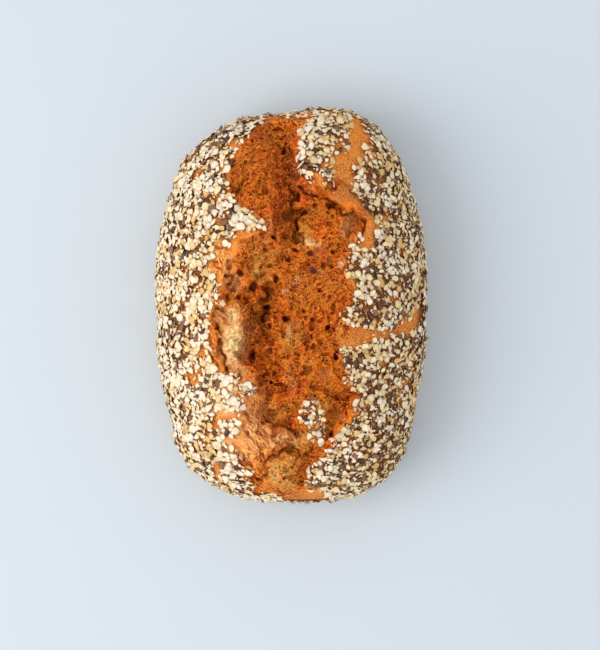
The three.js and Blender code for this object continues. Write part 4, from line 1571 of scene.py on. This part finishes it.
def linseeds(rng, laid, kind, around=10, rings=6):
    """Smooth flat drop-shaped seeds with one pointed end."""
    count = len(laid.radii)
    one = [(-1.0, 0.0, 0.0)]
    for ring in range(1, rings):
        along = -math.cos(math.pi * ring / rings)
        girth = math.sqrt(1 - along ** 2) * (1 - LINSEED_TAPER * along)
        for step in range(around):
            turn = 2 * math.pi * step / around
            width = LINSEED_WIDTH * girth * math.cos(turn)
            one.append((along, width, LINSEED_THICKNESS * girth * math.sin(turn)))
    one.append((LINSEED_TIP, 0.0, 0.0))
    faces = []
    last = len(one) - 1
    for step in range(around):
        after = (step + 1) % around
        faces.append((0, 1 + after, 1 + step))
        for ring in range(rings - 2):
            near = 1 + ring * around
            far = near + around
            faces.append((near + step, near + after, far + after))
            faces.append((near + step, far + after, far + step))
        final = 1 + (rings - 2) * around
        faces.append((last, final + step, final + after))
    one = np.array(one)
    points = laid_out(rng, laid, kind, np.repeat(one[None], count, 0))
    piece = new_piece(kind.name, points, copied_faces(faces, count, len(one)))
    give_attribute(piece.data, "rim", np.tile(np.abs(one[:, 0]) ** 3, count))
    give_attribute(piece.data, "tone", np.repeat(rng.random(count), len(one)))
    return piece


# What a user may change


def count_property(name, description, default):
    """A whole number of at least 1 that a user may change."""
    return IntProperty(name=name, description=description, default=default, min=1)


class BreadSizes(bpy.types.PropertyGroup):
    crust_triangles: count_property("Crust triangles", "Most triangles of the crust's mesh", 196000)
    linseeds: count_property("Linseeds", "Most dark seeds on the flanks", 120)
    bran_flakes: count_property("Bran flakes", "Most dark brown flakes", 800)
    oat_flakes: count_property("Oat flakes", "Most whole oat flakes", 5000)
    oat_chips: count_property("Oat chips", "Most broken oat flakes", 6500)
    oat_crumbs: count_property("Oat crumbs", "Most small bits of oat", 4500)
    flake_thickness: FloatProperty(
        name="Flake thickness", description="Half of an oat flake's thickness in mm", default=0.24)


def colour_property(name, description, red, green, blue):
    """A colour that a user may change, given from 0 to 255."""
    return FloatVectorProperty(
        name=name, description=description, subtype="COLOR", size=3, min=0, max=1,
        default=linear(red, green, blue))


class BreadColours(bpy.types.PropertyGroup):
    crust_tan: colour_property("Crust tan", "Light parts of the bare crust", 218, 134, 62)
    crust_brown: colour_property("Crust brown", "Browner parts of the bare crust", 184, 92, 34)
    crust_light: colour_property("Crust light", "Pale specks on the bare crust", 248, 192, 112)
    # Crust between the flakes, browned and darkened as painted shade
    crust_shade_under_flakes: colour_property("Under flakes", "Crust between the flakes", 122, 68, 24)
    tear_brown: colour_property("Torn crust", "Main brown of the torn crust", 160, 54, 6)
    tear_red: colour_property("Torn red", "Redder parts of the torn crust", 142, 32, 4)
    # Orange of the torn crust, also laid on raised parts as painted light
    tear_orange: colour_property("Torn orange", "Raised parts of the torn crust", 208, 72, 6)
    # Orange of thin walls and ridges of the torn crumb, lightened as a painted highlight
    ridge_and_highlight: colour_property("Torn ridges", "Thin walls of the torn crumb", 255, 148, 50)
    # Dark red of the torn crust, used mostly as painted shade in pores, low parts and hollows
    dark_red_and_shade: colour_property("Deep red", "Pores and sheltered slopes", 84, 15, 2)
    # Painted shade on the floors of the deepest clefts and dark pits
    cleft_shade: colour_property("Deep olive", "Floor of the deepest clefts", 84, 28, 4)
    # Olive-brown floors of smooth hollows, in part painted shade
    olive: colour_property("Olive", "Smooth hollows in the crumb", 150, 88, 28)
    gold: colour_property("Gold", "Golden crumb", 255, 166, 46)
    cream: colour_property("Cream", "Pale crumb", 255, 208, 150)
    floor_tan: colour_property("Tan hollow", "Pale smooth floors of large hollows", 200, 132, 66)
    burnt: colour_property("Burnt", "Scorched ridges", 100, 44, 30)
    oat_light: colour_property("Oat light", "Palest flakes", 255, 250, 234)
    oat_mid: colour_property("Oat", "Common tone of the flakes", 252, 230, 174)
    oat_dark: colour_property("Oat dark", "Toasted flakes", 222, 170, 96)
    # Browned rims of flakes, also used as painted shade under the flakes and in creases
    oat_rim_and_shade: colour_property("Oat rim", "Toasted rims of flakes", 190, 136, 76)
    bran_light: colour_property("Bran light", "Lighter bran flakes", 170, 120, 80)
    bran_mid: colour_property("Bran", "Common tone of the bran flakes", 120, 74, 44)
    bran_dark: colour_property("Bran dark", "Darkest bran flakes", 76, 42, 26)
    seed_light: colour_property("Seed light", "Lighter linseeds", 110, 68, 44)
    seed_dark: colour_property("Seed dark", "Dark linseeds", 62, 36, 24)
    floor: colour_property("Floor", "Pale blue-grey table", 204, 210, 216)


# Operators, one for each piece or group of like pieces


class BREAD_OT_crust(bpy.types.Operator):
    """Make the loaf's body with its torn crown"""

    bl_idname = "bread.crust"
    bl_label = "Loaf crust"

    def execute(self, context):
        lines = [grown_lines(low, high, *zone) for (low, high), zone in zip(ROOM, FINE_ZONE)]
        plan = Plan(lines[0], lines[1])
        field = body_field(plan, lines)
        carve_pores(field, lines, plan)
        points, faces = largest_part(*skin_of(field, lines))
        points = relaxed(points, faces, 0.2)
        faces, ring = open_base(points, faces)
        points, faces, ring = without_spares(points, faces, ring)
        piece = new_piece("loaf_crust", points, faces, [ring])
        thinned(piece, context.scene.bread_sizes.crust_triangles)

        mesh = piece.data
        x, y, z = (read_numbers(mesh.vertices, "co", 3) / MM).T
        upper = smooth_step(*CROWN_FADE, z)
        open_floor = 1 - plan.floor
        fields = {"torn": plan.torn, "frayed": plan.frayed, "ribbed": plan.ribbed,
                  "rim": plan.rim * open_floor, **{kind: plan.tint(kind) for kind in TINT_KINDS}}
        for name, values in fields.items():
            give_attribute(mesh, name, plan.read(values, x, y) * upper)
        give_attribute(mesh, "smooth", plan.read(plan.smooth * open_floor, x, y))
        give_attribute(mesh, "airy", plan.read(plan.airy * open_floor, x, y))
        give_attribute(mesh, "topping", 1 - (1 - plan.read(plan.topping, x, y)) * upper)
        give_attribute(mesh, "dark", plan.read(plan.dark * plan.topping, x, y) * (0.3 + 0.7 * upper))
        give_attribute(mesh, "cup", np.clip(hollowness(mesh), -2, 2))
        tops = np.where(plan.share < CROWN_SHARE, top_heights(field, lines[2]), plan.crown)
        for name, blur, scale, least, most in DEPTHS:
            under = plan.read(blurred(tops, blur), x, y) - z
            give_attribute(mesh, name, np.clip(under / scale, least, most) * upper)
        finish_piece(piece, crust_material(context.scene.bread_colours))
        return {"FINISHED"}


TOPPINGS = {}


def all_toppings(context):
    """Where every topping lies, worked out once, and the kinds by name."""
    kinds = topping_kinds(context.scene.bread_sizes)
    if not TOPPINGS:
        TOPPINGS.update(lay_toppings(bpy.data.objects["loaf_crust"], kinds))
    return TOPPINGS, {kind.name: kind for kind in kinds}


class BREAD_OT_seeds(bpy.types.Operator):
    """Lay the dark linseeds and bran flakes on the flanks"""

    bl_idname = "bread.seeds"
    bl_label = "Linseeds and bran flakes"

    def execute(self, context):
        shades = context.scene.bread_colours
        laid, kinds = all_toppings(context)
        rng = np.random.default_rng(DARK_SEED)
        seeds = linseeds(rng, laid["linseeds"], kinds["linseeds"])
        finish_piece(seeds, flake_material(
            "Linseed", shades.seed_light, shades.seed_dark, shades.seed_dark, shades.seed_light,
            0.3, 0.4))
        bran = flakes(rng, laid["bran_flakes"], kinds["bran_flakes"], BRAN_THICKNESS)
        finish_piece(bran, flake_material(
            "Bran flake", shades.bran_light, shades.bran_mid, shades.bran_dark, shades.bran_dark,
            0.36, 0.4))
        return {"FINISHED"}


class BREAD_OT_oats(bpy.types.Operator):
    """Lay the whole and broken oat flakes on the flanks"""

    bl_idname = "bread.oats"
    bl_label = "Oat flakes"

    def execute(self, context):
        shades = context.scene.bread_colours
        thickness = context.scene.bread_sizes.flake_thickness
        laid, kinds = all_toppings(context)
        rng = np.random.default_rng(OAT_SEED)
        oat = flake_material(
            "Oat flake", shades.oat_light, shades.oat_mid, shades.oat_dark, shades.oat_rim_and_shade, 0.65)
        for name in ("oat_flakes", "oat_chips", "oat_crumbs"):
            piece = flakes(rng, laid[name], kinds[name], thickness)
            finish_piece(piece, oat)
        return {"FINISHED"}


# Stage: the loaf is seen from straight above on a pale table

IMAGE_WIDTH = 600
IMAGE_HEIGHT = 650
PIXEL = 0.54
LOAF_MIDDLE = (291.0, 304.5)
FOCAL_LENGTH = 150.0
SENSOR = 36.0
TABLE_SIZE = 8.0
TABLE_CLOUD = (0.62, 0.66, 0.70)
KEY_PLACE = (-1.15, -0.30, 1.15)
KEY_TARGET = (0, 0, 0.03)
KEY_SIZE = 1.3
KEY_WATTS = 15.0
KEY_TINT = (1.0, 0.98, 0.95)
ROOM_TINT = (0.92, 0.96, 1.0, 1.0)
ROOM_STRENGTH = 0.92


def add_floor(context):
    """A wide pale table under the loaf."""
    bpy.ops.mesh.primitive_grid_add(x_subdivisions=2, y_subdivisions=2, size=TABLE_SIZE)
    floor = context.object
    floor.name = "table"
    material, board, surface = new_material("Pale table")
    clouds = board.span(board.noise(board.place(), 40.0, 2.0), 0.3, 0.7, 0.0, 0.04)
    shade = board.layers(context.scene.bread_colours.floor, (clouds, TABLE_CLOUD))
    board.fill(surface, {"Base Color": shade, "Roughness": 0.9})
    floor.data.materials.append(material)


def aimed_light(name, place, target, size, watts, tint):
    """A square area light that points at a place."""
    lamp = bpy.data.lights.new(name, "AREA")
    lamp.size = size
    lamp.energy = watts
    lamp.color = tint
    light = bpy.data.objects.new(name, lamp)
    light.location = place
    light.rotation_euler = (Vector(target) - Vector(place)).to_track_quat("-Z", "Y").to_euler()
    bpy.context.scene.collection.objects.link(light)
    return light


def add_lights(context):
    """A broad soft key from the left, and even cool light from all round."""
    aimed_light("key", KEY_PLACE, KEY_TARGET, KEY_SIZE, KEY_WATTS, KEY_TINT)
    world = bpy.data.worlds.new("Soft room")
    world.use_nodes = True
    background = world.node_tree.nodes["Background"]
    background.inputs["Color"].default_value = ROOM_TINT
    background.inputs["Strength"].default_value = ROOM_STRENGTH
    context.scene.world = world
    context.scene.view_settings.view_transform = "Standard"


def add_camera(context):
    """Straight down, with the loaf where the photograph has it in the frame."""
    lens = bpy.data.cameras.new("camera")
    lens.lens = FOCAL_LENGTH
    lens.sensor_width = SENSOR
    lens.clip_end = 50.0
    camera = bpy.data.objects.new("camera", lens)
    field_height = IMAGE_HEIGHT * PIXEL * MM
    distance = field_height * FOCAL_LENGTH / SENSOR
    aside = (IMAGE_WIDTH / 2 - LOAF_MIDDLE[0]) * PIXEL * MM
    below = (IMAGE_HEIGHT / 2 - LOAF_MIDDLE[1]) * PIXEL * MM
    camera.location = (aside, -below, WAIST_HEIGHT * MM + distance)
    context.scene.collection.objects.link(camera)
    context.scene.camera = camera


class BREAD_OT_stage(bpy.types.Operator):
    """Set the pale floor, the lights and the camera over the loaf"""

    bl_idname = "bread.stage"
    bl_label = "Stage"

    def execute(self, context):
        add_floor(context)
        add_lights(context)
        add_camera(context)
        return {"FINISHED"}


OPERATORS = (BREAD_OT_crust, BREAD_OT_seeds, BREAD_OT_oats, BREAD_OT_stage)


class BREAD_PT_panel(bpy.types.Panel):
    bl_label = "Bread"
    bl_space_type = "VIEW_3D"
    bl_region_type = "UI"
    bl_category = "Bread"

    def draw(self, context):
        for operator in OPERATORS:
            self.layout.operator(operator.bl_idname)
        for group in (context.scene.bread_sizes, context.scene.bread_colours):
            for name in group.__annotations__:
                self.layout.prop(group, name)


CLASSES = (BreadSizes, BreadColours, *OPERATORS, BREAD_PT_panel)


def register():
    for new_class in CLASSES:
        bpy.utils.register_class(new_class)
    bpy.types.Scene.bread_sizes = PointerProperty(type=BreadSizes)
    bpy.types.Scene.bread_colours = PointerProperty(type=BreadColours)


def unregister():
    del bpy.types.Scene.bread_sizes
    del bpy.types.Scene.bread_colours
    for old_class in reversed(CLASSES):
        bpy.utils.unregister_class(old_class)


def main():
    register()
    bpy.ops.bread.crust()
    bpy.ops.bread.seeds()
    bpy.ops.bread.oats()
    bpy.ops.bread.stage()
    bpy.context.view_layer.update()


if __name__ == "__main__":
    main()
